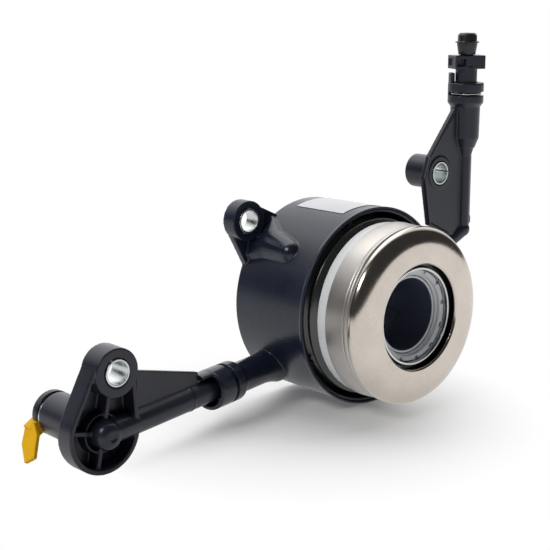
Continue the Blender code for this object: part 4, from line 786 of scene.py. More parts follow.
def make_housing():
    housing = shape(spun(body_section()))
    add_ear(housing, UPPER_EAR_ANGLE, 1.0)
    add_ear(housing, LOWER_EAR_ANGLE, -1.0)
    join(housing, lathe(socket_section(INLET_SOCKET, INLET_NECK_ROOT, NECK_RADIUS)), INLET)
    join(housing, lathe(socket_section(BLEED_SOCKET, BLEED_NECK_ROOT, BLEED_NECK_RADIUS)), BLEED)
    cut(housing, spun(hollow_section()), spin(TURN / RING_STEPS / 2.0))
    shroud = BODY_FRONT_RADIUS - SHROUD_WALL
    half = RIB_THICK / 2.0
    for angle in RIB_ANGLES:
        outline = rectangle(shroud - RIB_HEIGHT, -half, shroud + 0.5 * MM, half)
        rib = prism(outline, RECESS_FLOOR - 0.5 * MM, HOUSING_LENGTH - 2.0 * MM)
        join(housing, rib, spin(radians(angle)))
    for socket, place in ((INLET_SOCKET, INLET), (BLEED_SOCKET, BLEED)):
        cut(housing, bore(socket.radius - socket.wall, socket.floor, socket.mouth + 1.0 * MM), place)
    join(housing, tongue(INLET_SOCKET, TONGUE_LENGTH, pi), INLET)
    cut(housing, clip_slot(INLET_SOCKET), INLET)
    cut(housing, clip_slot(BLEED_SOCKET), BLEED)
    pitch = TURN / CORING_COUNT
    for index in range(CORING_COUNT):
        middle = pitch * (index + 0.5)
        half = pitch / 2.0 - radians(3.0)
        cut(housing, sector(CYLINDER_OUTER + 1.0 * MM, BODY_RADIUS - CORING_WALL, middle - half,
                            middle + half, -1.0 * MM, CORING_DEPTH, 14))
    moulded(housing, keep=0.22)
    stand_for(housing, "housing", "housing", "housing_plastic")


def turned_piece(name, body, slot, section, place=Matrix(), steps=RING_STEPS, ring=True, edge=EDGE,
                 finish=None):
    piece = shape(spun(rounded(section, edge, ring), steps, ring), place)
    stand_for(piece, name, body, slot, 40.0, finish)


def make_guide_sleeve():
    turned_piece("guide_sleeve", "housing", "dark_steel", [
        (SLEEVE_BORE, SEAT_GAP), (SLEEVE_FLANGE, SEAT_GAP), (SLEEVE_FLANGE, SLEEVE_FLANGE_THICK),
        (SLEEVE_OUTER, SLEEVE_FLANGE_THICK), (SLEEVE_OUTER, SLEEVE_FRONT), (SLEEVE_BORE, SLEEVE_FRONT),
    ])


def make_spring_seat():
    inner = NOSE_RADIUS + SEAT_GAP
    turned_piece("spring_seat", "piston", "pale_plastic", [
        (inner, CARRIER_WEB_REAR), (CARRIER_RADIUS - 2.4 * MM, CARRIER_WEB_REAR),
        (CARRIER_RADIUS - 1.9 * MM, CARRIER_REAR), (CARRIER_RADIUS - 0.1 * MM, CARRIER_REAR),
        (CARRIER_RADIUS - 0.7 * MM, CARRIER_FRONT), (inner, CARRIER_FRONT),
    ])


def make_shell():
    """Rear shell: a turned-in rear edge, a plain band and a rolled bead between two grooves."""
    flange = SHELL_REAR_RADIUS - 6.5 * MM
    low = BEAD_HEIGHT - BEAD_LENGTH / 2.0
    end = BEAD_HEIGHT + BEAD_LENGTH / 2.0 + 0.5 * MM
    crest = SHELL_FRONT_RADIUS + BEAD_PROUD
    groove = SHELL_FRONT_RADIUS - 0.15 * MM
    bead = section_arc((crest - BEAD_LENGTH / 2.0, BEAD_HEIGHT), BEAD_LENGTH / 2.0, -62.0, 62.0, 10)
    turned_piece("bearing_shell", "bearing_outer", "bearing_steel", [
        (flange, BEARING_REAR), (SHELL_REAR_RADIUS - 0.8 * MM, BEARING_REAR),
        (SHELL_REAR_RADIUS, BEARING_REAR + 0.8 * MM), (SHELL_FRONT_RADIUS, low - 0.5 * MM),
        (groove, low - 0.2 * MM),
    ] + bead + [
        (groove, end - 0.3 * MM), (SHELL_FRONT_RADIUS + 0.1 * MM, end),
        (SHELL_FRONT_RADIUS - SHELL_WALL, end),
        (SHELL_REAR_RADIUS - SHELL_WALL, BEARING_REAR + SHELL_WALL + 0.4 * MM),
        (SHELL_REAR_RADIUS - SHELL_WALL - 0.4 * MM, BEARING_REAR + SHELL_WALL),
        (flange, BEARING_REAR + SHELL_WALL),
    ], edge=0.1 * MM, finish="shell_finish")
    return end


def make_cap(shell_end):
    """Front cap: a skirt inside the shell, a wide soft shoulder and a flat face with an opening."""
    skirt = SHELL_REAR_RADIUS - SHELL_WALL - RUNNING_GAP
    start = shell_end + RUNNING_GAP
    centre = (CAP_RADIUS - CAP_ROUND_WIDTH, BEARING_FRONT - CAP_ROUND_DEPTH)
    outside = []
    inside = []
    for step in range(33):
        angle = pi / 2.0 * step / 32
        across = cos(angle) ** CAP_ROUND_POWER
        ahead = sin(angle) ** CAP_ROUND_POWER
        outside.append((centre[0] + CAP_ROUND_WIDTH * across, centre[1] + CAP_ROUND_DEPTH * ahead))
        inside.append((centre[0] + (CAP_ROUND_WIDTH - CAP_WALL) * across,
                       centre[1] + (CAP_ROUND_DEPTH - CAP_WALL) * ahead))
    inner = skirt - CAP_WALL + 0.2 * MM
    turned_piece("bearing_cap", "bearing_outer", "bearing_steel", [
        (skirt, start - CAP_SKIRT), (skirt, start), (CAP_RADIUS - 0.3 * MM, start),
    ] + outside + [
        (CAP_OPENING + 0.6 * MM, BEARING_FRONT), (CAP_OPENING, BEARING_FRONT - 0.6 * MM),
        (CAP_OPENING, BEARING_FRONT - CAP_WALL),
    ] + inside[:12:-2] + [
        (inner, start - 0.4 * MM), (inner, start - CAP_SKIRT),
    ])


def make_inner_race():
    front = BEARING_FRONT - RACE_DEPTH
    groove = section_arc((BALL_CIRCLE, BALL_HEIGHT), BALL_RADIUS + RUNNING_GAP, 250.0, 140.0, 12)
    turned_piece("inner_race", "piston", "race_steel", [
        (RACE_BORE, BEARING_REAR), (BALL_CIRCLE - 3.9 * MM, BEARING_REAR),
        (BALL_CIRCLE - 3.9 * MM, BEARING_REAR + 3.0 * MM),
        (BALL_CIRCLE - 2.4 * MM, BEARING_REAR + 4.6 * MM),
    ] + groove + [
        (BALL_CIRCLE - 3.4 * MM, BALL_HEIGHT + 3.4 * MM), (RACE_NECK, BALL_HEIGHT + 4.6 * MM),
        (RACE_NECK, front), (RACE_BORE, front),
    ], edge=0.3 * MM)


def make_front_seal():
    high = BEARING_FRONT - SEAL_DEPTH
    low = high - 1.2 * MM
    turned_piece("front_seal", "bearing_outer", "rubber",
                 rectangle(RACE_NECK + RUNNING_GAP, low, CAP_OPENING + 5.0 * MM, high))


def make_retaining_ring():
    """The notched ring in front of the piston's nose, with a funnel-shaped inside."""
    front = RETAINER_REAR + RETAINER_LENGTH
    hole = SLEEVE_OUTER + RUNNING_GAP
    section = [(hole, RETAINER_REAR), (NOSE_RADIUS, RETAINER_REAR), (NOSE_RADIUS, front),
               (NOSE_RADIUS - 0.4 * MM, front), (hole + 0.7 * MM, front - 0.6 * MM),
               (hole + 0.5 * MM, front - 1.8 * MM), (hole, front - 2.2 * MM)]
    ring = shape(spun(rounded(section, 0.12 * MM)))
    half = NOTCH_WIDTH / 2.0
    notch = rectangle(NOSE_RADIUS - 1.2 * MM, -half, NOSE_RADIUS + 1.0 * MM, half)
    for index in range(NOTCH_COUNT):
        cut(ring, prism(notch, front - NOTCH_DEPTH, front + 1.0 * MM),
            spin(TURN * (index + NOTCH_PHASE) / NOTCH_COUNT))
    settled(ring)
    stand_for(ring, "retaining_ring", "piston", "retainer_plastic", 40.0)


def across_travel(piece, name, slot, finish=None):
    """A soft piece between the housing and the piston: it is dressed, fixed in the world and rides on
    neither body.
    """
    dress(piece, f"{name}_fine", finish or slot)
    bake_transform(piece)
    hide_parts(name)


def make_dust_boot():
    """A gaiter with rolled folds between the housing's floor and the pale ring."""
    low = RECESS_FLOOR + SEAT_GAP
    high = CARRIER_REAR - SEAT_GAP
    steps = BOOT_FOLDS * 16
    outer = []
    for index in range(steps + 1):
        share = index / steps
        wave = 0.5 - 0.5 * cos(TURN * BOOT_FOLDS * share)
        outer.append((BOOT_RADIUS - BOOT_FOLD * (1.0 - wave), low + (high - low) * share))
    inner = [(radius - BOOT_WALL, height) for radius, height in outer[::-1]]
    across_travel(shape(spun(outer + inner)), "dust_boot", "rubber", "boot_finish")


def make_preload_spring():
    low = RECESS_FLOOR + SPRING_WIRE + SEAT_GAP
    high = CARRIER_WEB_REAR - SPRING_WIRE - SEAT_GAP
    closed = 2.0 * SPRING_WIRE + 0.2 * MM
    body_low = low + 0.75 * closed
    body_high = high - 0.75 * closed
    count = int(SPRING_TURNS * 48)
    points = []
    for index in range(count + 1):
        turns = SPRING_TURNS * index / count
        lift = min(max((turns - 0.75) / (SPRING_TURNS - 1.5), 0.0), 1.0)
        flat = closed * (min(turns - 0.75, 0.0) + max(turns - SPRING_TURNS + 0.75, 0.0))
        points.append(polar(SPRING_RADIUS, TURN * turns, body_low + (body_high - body_low) * lift + flat))
    across_travel(wire(points, SPRING_WIRE), "preload_spring", "spring_steel")


def wire(points, radius, place=Matrix(), kind="POLY"):
    """A round wire through points, as a mesh."""
    data = bpy.data.curves.new("wire", "CURVE")
    data.dimensions = "3D"
    data.bevel_depth = radius
    data.bevel_resolution = 4
    data.use_fill_caps = True
    spline = data.splines.new(kind)
    spline.points.add(len(points) - 1)
    for point, spot in zip(spline.points, points):
        point.co = (*spot, 1.0)
    if kind == "NURBS":
        spline.order_u = 3
        spline.use_endpoint_u = True
        spline.resolution_u = 6
    curve = new_object("wire", data)
    mesh = mesh_of(curve)
    bpy.data.objects.remove(curve, do_unlink=True)
    mesh.transform(place)
    return new_object("wire", mesh)


def make_clip(name, place, socket, spigot, sink=CLIP_SINK):
    """A horseshoe: a bow in the slot and two straight legs beside the spigot."""
    half = spigot + CLIP_WIRE + CLIP_GAP
    bow = socket.radius - CLIP_WIRE - sink - CLIP_SHOULDER
    points = [Vector((half + 0.3 * MM, -CLIP_LEG - 0.9 * MM, 0.0)), Vector((half, -CLIP_LEG, 0.0))]
    for index in range(17):
        angle = pi * index / 16
        points.append(Vector((half * cos(angle), CLIP_SHOULDER + bow * sin(angle), 0.0)))
    points.append(Vector((-half, -CLIP_LEG, 0.0)))
    points.append(Vector((-half - 0.3 * MM, -CLIP_LEG - 0.9 * MM, 0.0)))
    clip = wire(points, CLIP_WIRE, place @ Matrix.Translation((0.0, 0.0, socket.clip)), "NURBS")
    stand_for(clip, name, name, "clip_wire", 50.0)


def make_clips():
    make_clip("inlet_clip", INLET, INLET_SOCKET, PIPE_RADIUS)
    make_clip("bleed_pipe_clip", BLEED, BLEED_SOCKET, STUB_RADIUS)
    make_clip("bleed_valve_clip", TOP, TOP_SOCKET, VALVE_STEM)
    make_clip("connector_clip", CONNECTOR, PORT, PLUG_RADIUS, PORT_CLIP_SINK)


def make_bush(name, centre, low, high, slit_angle=None):
    section = rectangle(BUSH_RADIUS - BUSH_WALL, low, BUSH_RADIUS, high)
    place = Matrix.Translation((centre.x, centre.y, 0.0))
    bush = shape(spun(rounded(section, 0.2 * MM), PIPE_STEPS), place)
    if slit_angle is not None:
        half = BUSH_SLIT / 2.0
        outline = rectangle(0.0, -half, BUSH_RADIUS + 1.0 * MM, half)
        cut(bush, prism(outline, low - 1.0 * MM, high + 1.0 * MM), place @ spin(slit_angle))
        settled(bush)
    stand_for(bush, name, "housing", "bush_steel", 40.0)


def make_bushes():
    ear_high = EAR_BOSS_LENGTH + BUSH_PROUD
    make_bush("ear_bush_upper", polar(EAR_REACH, UPPER_EAR_ANGLE), 0.0, ear_high)
    make_bush("ear_bush_lower", polar(EAR_REACH, LOWER_EAR_ANGLE), 0.0, ear_high)
    inlet_high = BRACKET_REAR + BRACKET_DEPTH + BRACKET_BOSS_PROUD + BUSH_PROUD
    make_bush("inlet_bush", BRACKET_BOSS, BRACKET_REAR, inlet_high, INLET_SLIT_ANGLE)
    bleed_high = ELBOW.z + BLEED_PLATE_THICK / 2.0 + BLEED_RING_PROUD + BUSH_PROUD
    make_bush("bleed_bush", BLEED_BOSS, BLEED_BOSS_REAR, bleed_high, BLEED_SLIT_ANGLE)


def spigot_section(socket, radius, depth, end):
    """A pipe's end with the collar that the clip holds in its socket."""
    start = socket.floor + 0.6 * MM
    collar = socket.radius - socket.wall - RUNNING_GAP
    collar_low = socket.clip - depth
    collar_high = socket.clip - 1.2 * MM
    return [(0.0, start), (radius - 0.4 * MM, start), (radius, start + 0.4 * MM), (radius, collar_low),
            (collar, collar_low), (collar, collar_high), (radius, collar_high), (radius, end), (0.0, end)]


def bracket_rib(bracket, start, end):
    run = end - start
    place = Matrix.Translation((start.x, start.y, 0.0)) @ spin(atan2(run.y, run.x))
    half = BRACKET_RIB / 2.0
    outline = rectangle(0.0, -half, run.length, half)
    join(bracket, prism(outline, BRACKET_REAR + BRACKET_FLOOR / 2.0,
                        BRACKET_REAR + BRACKET_DEPTH - 1.2 * MM), place)


def make_bracket():
    """The drop-shaped bracket: a rim, a floor, ribs and the boss for the bush."""
    top = BRACKET_REAR + BRACKET_DEPTH
    outer = hull_of_circles(HUB, BRACKET_RADIUS, BRACKET_BOSS, BRACKET_BOSS_RADIUS - SEAT_GAP, 48)
    inner = hull_of_circles(HUB, BRACKET_RADIUS - BRACKET_WALL, BRACKET_BOSS,
                            BRACKET_BOSS_RADIUS - BRACKET_WALL, 48)
    pipe = shape(prism(outer, BRACKET_REAR, top))
    cut(pipe, prism(inner, BRACKET_REAR + BRACKET_FLOOR, top + 8.0 * MM))
    boss = Matrix.Translation(BRACKET_BOSS)
    join(pipe, rod(BRACKET_BOSS_RADIUS, BRACKET_REAR, top + BRACKET_BOSS_PROUD), boss)
    centre = Vector(HUB[:2])
    upward = (Vector(BRACKET_BOSS[:2]) - centre).normalized()
    across = Vector((-upward.y, upward.x))
    reach = BRACKET_RADIUS - BRACKET_WALL / 2.0
    bracket_rib(pipe, centre + upward * 4.0 * MM, Vector(BRACKET_BOSS[:2]) - upward * 7.0 * MM)
    for side in (-upward, across, -across):
        bracket_rib(pipe, centre + side * 4.0 * MM, centre + side * reach)
    cut(pipe, bore(BUSH_RADIUS + SEAT_GAP, BRACKET_REAR - 2.0 * MM, top + 5.0 * MM), boss)
    return pipe


def hub_section():
    """The knuckle in front, the hub inside the bracket and the connector barrel behind it."""
    dimple = 0.5 * MM
    dome = section_arc((KNUCKLE_RADIUS - 3.4 * MM, KNUCKLE_FRONT - 3.4 * MM), 3.4 * MM, 86.0, 0.0, 12)
    return [
        (0.0, KNUCKLE_FRONT - dimple), (1.2 * MM, KNUCKLE_FRONT - dimple), (1.7 * MM, KNUCKLE_FRONT),
    ] + dome + [
        (KNUCKLE_RADIUS, HUB.z - HUB_MOAT), (HUB_RADIUS - HUB_WALL, HUB.z - HUB_MOAT),
        (HUB_RADIUS - HUB_WALL, HUB.z - 0.6 * MM), (HUB_RADIUS, HUB.z - 0.6 * MM),
        (HUB_RADIUS, BRACKET_REAR + 0.5 * MM), (PORT_RADIUS, BRACKET_REAR + 0.5 * MM),
        (PORT_RADIUS, PORT.mouth + 0.5 * MM), (PORT_RADIUS - 0.5 * MM, PORT.mouth),
        (PORT_BORE + 0.4 * MM, PORT.mouth), (PORT_BORE, PORT.mouth + 0.6 * MM),
        (PORT_BORE, PORT.floor), (0.0, PORT.floor),
    ]


def make_inlet_pipe():
    section = spigot_section(INLET_SOCKET, PIPE_RADIUS, 3.6 * MM, PIPE_LENGTH)
    ridge = PIPE_RADIUS + 0.2 * MM
    # The ring that the mould's parting leaves on the pipe
    section[-2:-2] = [(PIPE_RADIUS, PARTING_PLACE), (ridge, PARTING_PLACE + 0.2 * MM),
                      (ridge, PARTING_PLACE + 0.9 * MM), (PIPE_RADIUS, PARTING_PLACE + 1.1 * MM)]
    pipe = make_bracket()
    join(pipe, lathe(section), INLET)
    centre = Matrix.Translation(HUB_FOOT)
    join(pipe, lathe(hub_section()), centre)
    upright = along(INLET_ROOT, (HUB - INLET_ROOT).cross(UP), UP)
    web = [(WEB_START, 0.0), (WEB_START, WEB_LOW_HEIGHT), (WEB_END, WEB_HIGH_HEIGHT), (WEB_END, 0.0)]
    join(pipe, prism(web, -WEB_THICK / 2.0, WEB_THICK / 2.0), upright)
    cut(pipe, clip_slot(PORT), CONNECTOR)
    half = PLUG_ARM_WIDTH / 2.0 + SEAT_GAP
    notch = prism(rectangle(0.0, -half, PLUG_ARM_REACH, half), PORT.mouth - 1.0 * MM, PORT.clip)
    cut(pipe, notch, centre @ spin(PLUG_ARM_ANGLE))
    moulded(pipe, keep=0.5)
    stand_for(pipe, "inlet_pipe", "housing", "pipe_plastic")


def slab(start, end, widths, thick):
    """A straight strip with square ends between two points, wide along the bench z."""
    run = (end - start).normalized()
    across = (FORWARD - run * FORWARD.dot(run)).normalized() / 2.0
    up = run.cross(across).normalized() * thick / 2.0
    corners = []
    for spot, width in ((start, widths[0]), (end, widths[1])):
        for side, lift in ((-1, -1), (1, -1), (1, 1), (-1, 1)):
            corners.append(spot + across * width * side + up * lift)
    return hull(corners)


def make_transport_plug():
    """Stopper in the connector, with an arm through the end ring's notch and a pull tab."""
    place = Matrix.Translation(HUB_FOOT)
    head = PORT.mouth - SEAT_GAP
    section = [(0.0, head - PLUG_HEAD_THICK), (PLUG_HEAD, head - PLUG_HEAD_THICK), (PLUG_HEAD, head),
               (PLUG_RADIUS, head), (PLUG_RADIUS, head + PLUG_LENGTH - 1.0 * MM),
               (PLUG_RADIUS - 1.0 * MM, head + PLUG_LENGTH), (0.0, head + PLUG_LENGTH)]
    plug = shape(lathe(section), place)
    half = PLUG_ARM_WIDTH / 2.0
    arm = prism(rectangle(0.0, -half, PLUG_ARM_REACH, half),
                head - PLUG_HEAD_THICK, PORT.clip - CLIP_SLOT / 2.0 - SEAT_GAP)
    join(plug, arm, place @ spin(PLUG_ARM_ANGLE))
    top = HUB_FOOT + polar(PORT_RADIUS + TAB_THICK, TAB_TOP_ANGLE, PORT.mouth + 0.9 * MM)
    middle = top.lerp(TAB_END, TAB_MIDDLE_SHARE)
    join(plug, slab(top, middle, (TAB_TOP_WIDTH, TAB_MIDDLE_WIDTH), TAB_THICK))
    join(plug, slab(middle, TAB_END, (TAB_MIDDLE_WIDTH, TAB_END_WIDTH), TAB_THICK * 1.02))
    moulded(plug, FINE_GRID, 2, 0.4)
    stand_for(plug, "transport_plug", "transport_plug", "yellow_plastic")


def bleed_tube_section():
    edge = 0.4 * MM
    return [
        (0.0, ELBOW.y + ELBOW_STEP), (TUBE_RADIUS, ELBOW.y + ELBOW_STEP), (TUBE_RADIUS, CONE_LOW),
        (TUBE_RADIUS + 1.0 * MM, CONE_STEP - 0.3 * MM), (TUBE_RADIUS + 1.5 * MM, CONE_STEP + 0.1 * MM),
        (BARREL_RADIUS - 0.2 * MM, BARREL_LOW), (BARREL_RADIUS, BARREL_HIGH),
        (TOP_SOCKET.radius, TOP_SOCKET_LOW), (TOP_SOCKET.radius, TOP_SOCKET.mouth - edge),
        (TOP_SOCKET.radius - edge, TOP_SOCKET.mouth), (0.0, TOP_SOCKET.mouth),
    ]


def top_socket_bore():
    stem = VALVE_STEM + SEAT_GAP
    wide = TOP_SOCKET.radius - TOP_SOCKET.wall
    return [(0.0, TOP_SOCKET.floor), (stem, TOP_SOCKET.floor), (stem, TOP_SOCKET.clip - 2.6 * MM),
            (wide, TOP_SOCKET.clip - 2.0 * MM), (wide, TOP_SOCKET.mouth + 1.0 * MM),
            (0.0, TOP_SOCKET.mouth + 1.0 * MM)]


def bleed_plate_outline():
    """The bracket's plate: a long kite from the barrel past the boss to the elbow."""
    right = ELBOW.x - 0.5 * TUBE_RADIUS
    boss = BLEED_BOSS
    rim = BLEED_BOSS_RADIUS
    return [
        (right, TOP_SOCKET_LOW - 2.5 * MM),
        (ELBOW.x - BARREL_RADIUS - 1.6 * MM, BARREL_HIGH - 0.6 * MM),
        (boss.x - rim * 0.97, boss.y + rim * 1.05), (boss.x - rim * 1.42, boss.y - rim * 0.25),
        (boss.x - rim * 0.88, ELBOW.y + 4.6 * MM), (ELBOW.x - 10.5 * MM, ELBOW.y - 1.6 * MM),
        (right, ELBOW.y - 1.6 * MM),
    ]


def inset(points, depth):
    """The points of an open outline, moved to its left side by a depth."""
    spots = [Vector(point) for point in points]
    sides = []
    for before, after in zip(spots, spots[1:]):
        run = after - before
        sides.append(Vector((-run.y, run.x)).normalized())
    moved = []
    for spot, one, two in zip(spots, sides[:1] + sides, sides + sides[-1:]):
        lean = (one + two).normalized()
        moved.append(spot + lean * depth / lean.dot(one))
    return moved


def bleed_border(front):
    """The raised border along the plate's free edges."""
    edge = bleed_plate_outline()[1:6]
    outer = inset(edge, BORDER_INSET)
    inner = inset(edge, BORDER_INSET + BORDER_WIDTH)
    return prism(outer + inner[::-1], ELBOW.z, front + BORDER_PROUD)


def tube_rib():
    """The flat rib down the tube's outer side, from the cone to the elbow, with a pip at its foot."""
    inner = ELBOW.x + TUBE_RADIUS / 2.0
    outer = ELBOW.x + TUBE_RADIUS + TUBE_RIB_REACH
    foot = ELBOW.y + 1.2 * MM
    pip = 0.5 * MM
    return [(inner, foot), (outer - 2.0 * pip, foot), (outer + pip, foot + 1.5 * MM),
            (outer + pip, foot + 4.0 * MM), (outer, foot + 4.8 * MM),
            (outer, CONE_LOW + 1.0 * MM), (inner, CONE_LOW + 1.0 * MM)]


def make_bleed_pipe():
    pipe = shape(lathe(bleed_tube_section()), TOP)
    join(pipe, lathe(spigot_section(BLEED_SOCKET, STUB_RADIUS, 3.4 * MM, STUB_LENGTH - ELBOW_STEP)), BLEED)
    corner = bmesh.new()
    bmesh.ops.create_uvsphere(corner, u_segments=32, v_segments=20, radius=STUB_RADIUS + 0.15 * MM)
    join(pipe, corner, Matrix.Translation(ELBOW))
    half = BLEED_PLATE_THICK / 2.0
    join(pipe, prism(bleed_plate_outline(), ELBOW.z - half, ELBOW.z + half))
    join(pipe, bleed_border(ELBOW.z + half))
    rib = TUBE_RIB_THICK / 2.0
    join(pipe, prism(tube_rib(), ELBOW.z - rib, ELBOW.z + rib))
    boss = Matrix.Translation(BLEED_BOSS)
    front = ELBOW.z + half + BLEED_RING_PROUD
    join(pipe, rod(BLEED_BOSS_RADIUS, BLEED_BOSS_REAR, front), boss)
    cut(pipe, bore(BUSH_RADIUS + SEAT_GAP, BLEED_BOSS_REAR - 1.0 * MM, front + 1.0 * MM), boss)
    cut(pipe, lathe(top_socket_bore()),
        TOP @ spin(TURN / PIPE_STEPS / 2.0))
    join(pipe, tongue(TOP_SOCKET, TOP_TONGUE, TOP_TONGUE_ANGLE), TOP)
    cut(pipe, clip_slot(TOP_SOCKET), TOP)
    moulded(pipe, 0.25 * MM, 3, 0.5)
    stand_for(pipe, "bleed_pipe", "housing", "pipe_plastic")


def make_bleed_valve():
    """Adapter in the upper socket, with a windowed block that is used to pull it."""
    groove = VALVE_STEM - 0.5 * MM
    tip = CAP_TOP - 1.8 * MM
    foot = TOP_SOCKET.floor + 0.5 * MM
    section = [
        (0.0, foot), (VALVE_STEM - 0.5 * MM, foot), (VALVE_STEM - 0.5 * MM, foot + 2.5 * MM),
        (VALVE_STEM - 1.3 * MM, foot + 2.5 * MM), (VALVE_STEM - 1.3 * MM, foot + 3.9 * MM),
        (VALVE_STEM, foot + 3.9 * MM), (VALVE_STEM, TOP_SOCKET.clip - 0.8 * MM),
        (groove, TOP_SOCKET.clip - 0.6 * MM), (groove, TOP_SOCKET.clip + 0.6 * MM),
        (VALVE_STEM, TOP_SOCKET.clip + 0.8 * MM), (VALVE_STEM, BLOCK_LOW + 1.0 * MM),
        (NIPPLE_RADIUS, BLOCK_LOW + 1.0 * MM), (NIPPLE_RADIUS, tip - 3.0 * MM),
        (NIPPLE_RADIUS - 0.6 * MM, tip), (0.0, tip),
    ]
    valve = shape(lathe(section), TOP)
    turned = TOP @ spin(BLOCK_TURN)
    half = BLOCK_WIDTH / 2.0
    deep = BLOCK_DEPTH / 2.0
    block = rectangle(-half, -deep, half, deep)
    join(valve, prism(block, BLOCK_LOW, BLOCK_LOW + BLOCK_HEIGHT), turned)
    low = BLOCK_LOW + 1.3 * MM
    high = BLOCK_LOW + BLOCK_HEIGHT - 1.3 * MM
    window = rectangle(half - 4.9 * MM, deep - 2.2 * MM, half - 1.0 * MM, deep + 1.0 * MM)
    cut(valve, prism(window, low, high), turned)
    side = rectangle(half - 0.8 * MM, -deep + 1.2 * MM, half + 1.0 * MM, deep - 2.8 * MM)
    cut(valve, prism(side, low, high), turned)
    moulded(valve, FINE_GRID, 2, 0.5)
    stand_for(valve, "bleed_valve", "bleed_valve", "pipe_plastic")


def make_bleed_cap():
    """Rubber dust cap with a thin rim, pushed over the nipple."""
    low = BLOCK_LOW + BLOCK_HEIGHT + SEAT_GAP
    rim = CAP_TOP - 4.1 * MM
    hole = NIPPLE_RADIUS + SEAT_GAP
    turned_piece("bleed_cap", "bleed_cap", "rubber", [
        (0.0, CAP_TOP - 1.5 * MM), (hole, CAP_TOP - 1.5 * MM), (hole, low),
        (DUST_CAP_RADIUS - 0.7 * MM, low), (DUST_CAP_RADIUS, rim - 0.9 * MM),
        (DUST_CAP_RADIUS, rim - 0.3 * MM), (DUST_RIM_RADIUS, rim - 0.25 * MM),
        (DUST_RIM_RADIUS, rim + 0.25 * MM), (DUST_CAP_RADIUS - 0.2 * MM, rim + 0.4 * MM),
        (DUST_CAP_RADIUS - 0.3 * MM, CAP_TOP - 1.1 * MM),
        (DUST_CAP_RADIUS - 1.1 * MM, CAP_TOP - 0.2 * MM), (0.0, CAP_TOP),
    ], TOP, PIPE_STEPS, ring=False)


def make_label():
    inner = BODY_FRONT_RADIUS + LABEL_GAP
    patch = shape(sector(inner, inner + LABEL_THICK, LABEL_LOW_ANGLE, LABEL_HIGH_ANGLE,
                         LABEL_REAR, LABEL_FRONT, 40))
    for vertex in patch.data.vertices:
        outward = Vector((vertex.co.x, vertex.co.y, 0.0)).normalized()
        vertex.co -= outward * BODY_DRAFT * (1.0 - vertex.co.z / (HOUSING_LENGTH - LIP_LENGTH))
    stand_for(patch, "label", "housing", "label_film", 40.0)


def dress_hidden_nodes():
    """The solids inside the bearing keep their form and get the finish of their slot."""
    slots = {entry["node"]: entry["material_slot"] for entry in frame["record"]["subparts"]}
    for name, item in frame["nodes"].items():
        item.data.materials.clear()
        item.data.materials.append(MATERIALS[slots[name]])


def facing(owner, place, line):
    """How far a place or a direction lies along a line."""
    return node(owner, "VectorMath", {0: place, 1: line}, operation="DOT_PRODUCT").outputs["Value"]


def make_stage():
    """A pale floor that takes the object's shadow and turns white away from it."""
    mesh = bpy.data.meshes.new("floor")
    corners = rectangle(-FLOOR_REACH, -FLOOR_REACH, FLOOR_REACH, FLOOR_REACH)
    mesh.from_pydata([(x, y, 0.0) for x, y in corners], [], [(0, 1, 2, 3)])
    floor = new_object("floor", mesh)
    material = new_material("floor", FLOOR_COLOUR, 0.6)
    place = object_place(material)
    away = node(material, "VectorMath", {0: place}, operation="LENGTH").outputs["Value"]
    ahead = facing(material, place, MIRROR_LINE)
    paths = node(material, "LightPath", {}).outputs
    seen = spread(material, away, FLOOR_NEAR, 1.0, *FLOOR_SHADE_REACH)
    mirrored = spread(material, ahead, MIRROR_DARK, MIRROR_BRIGHT, *MIRROR_REACH)
    glowing = maths(material, "MAXIMUM", maths(material, "MULTIPLY", paths["Is Camera Ray"], seen),
                    maths(material, "MULTIPLY", paths["Is Glossy Ray"], mirrored))
    glow = node(material, "Emission", {"Color": WHITE}).outputs[0]
    mix = node(material, "MixShader", {0: glowing, 1: shader_of(material).outputs[0], 2: glow})
    feed(material, material.node_tree.nodes["Material Output"], {"Surface": mix.outputs[0]})
    mesh.materials.append(material)


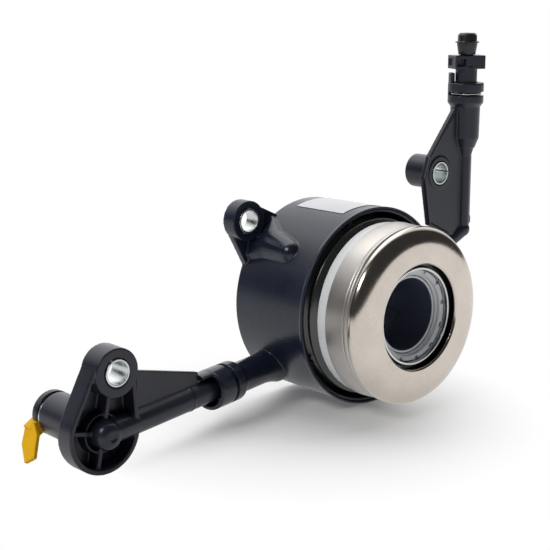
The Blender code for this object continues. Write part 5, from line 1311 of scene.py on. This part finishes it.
def make_world():
    """White behind the object for the camera, and a soft bright field above and behind it."""
    world = bpy.data.worlds.new("studio")
    bpy.context.scene.world = world
    world.use_nodes = True
    coords = node(world, "TexCoord", {}).outputs["Generated"]
    ahead = facing(world, coords, Vector(FIELD_AIM).normalized())
    edge = spread(world, ahead, 0.0, 1.0, FIELD_EDGE, FIELD_STEP, "SMOOTHSTEP")
    light = spread(world, ahead, FIELD_LOW, FIELD_BRIGHT, FIELD_STEP, FIELD_CORE)
    field = maths(world, "MULTIPLY_ADD", edge, light, FIELD_DARK)
    level = maths(world, "MAXIMUM", field, node(world, "LightPath", {}).outputs["Is Camera Ray"])
    feed(world, world.node_tree.nodes["Background"], {"Color": WHITE, "Strength": level})


def area_light(name, place, size, power, mirrored=True):
    data = bpy.data.lights.new(name, "AREA")
    data.shape = "RECTANGLE"
    data.size = size[0]
    data.size_y = size[1]
    data.energy = power
    lamp = new_object(name, data)
    lamp.location = place
    lamp.rotation_euler = (LIGHT_AIM - Vector(place)).to_track_quat("-Z", "Y").to_euler()
    lamp.visible_glossy = mirrored


def make_lights():
    area_light("key", (-0.68, -0.02, 0.66), (0.36, 0.26), 2.9)
    area_light("top", (0.15, 0.35, 0.95), (0.9, 0.5), 2.4)
    area_light("fill", (0.7, -0.5, 0.35), (0.5, 0.4), 1.1, False)


def make_camera():
    data = bpy.data.cameras.new("camera")
    data.sensor_width = CAMERA_SENSOR
    data.lens = CAMERA_LENS
    data.clip_start = CAMERA_NEAR
    camera = new_object("camera", data)
    camera.location = CAMERA_PLACE
    camera.rotation_euler = CAMERA_TURN
    bpy.context.scene.camera = camera


bpy.context.scene.view_settings.view_transform = "Standard"
make_camera()
make_stage()
make_world()
make_lights()
MATERIALS = {name: maker(name, *values) for name, (maker, *values) in FINISHES.items()}
dress_hidden_nodes()
make_housing()
make_guide_sleeve()
make_dust_boot()
make_preload_spring()
make_spring_seat()
make_cap(make_shell())
make_inner_race()
make_front_seal()
make_retaining_ring()
make_bushes()
make_inlet_pipe()
make_transport_plug()
make_bleed_pipe()
make_bleed_valve()
make_bleed_cap()
make_clips()
make_label()
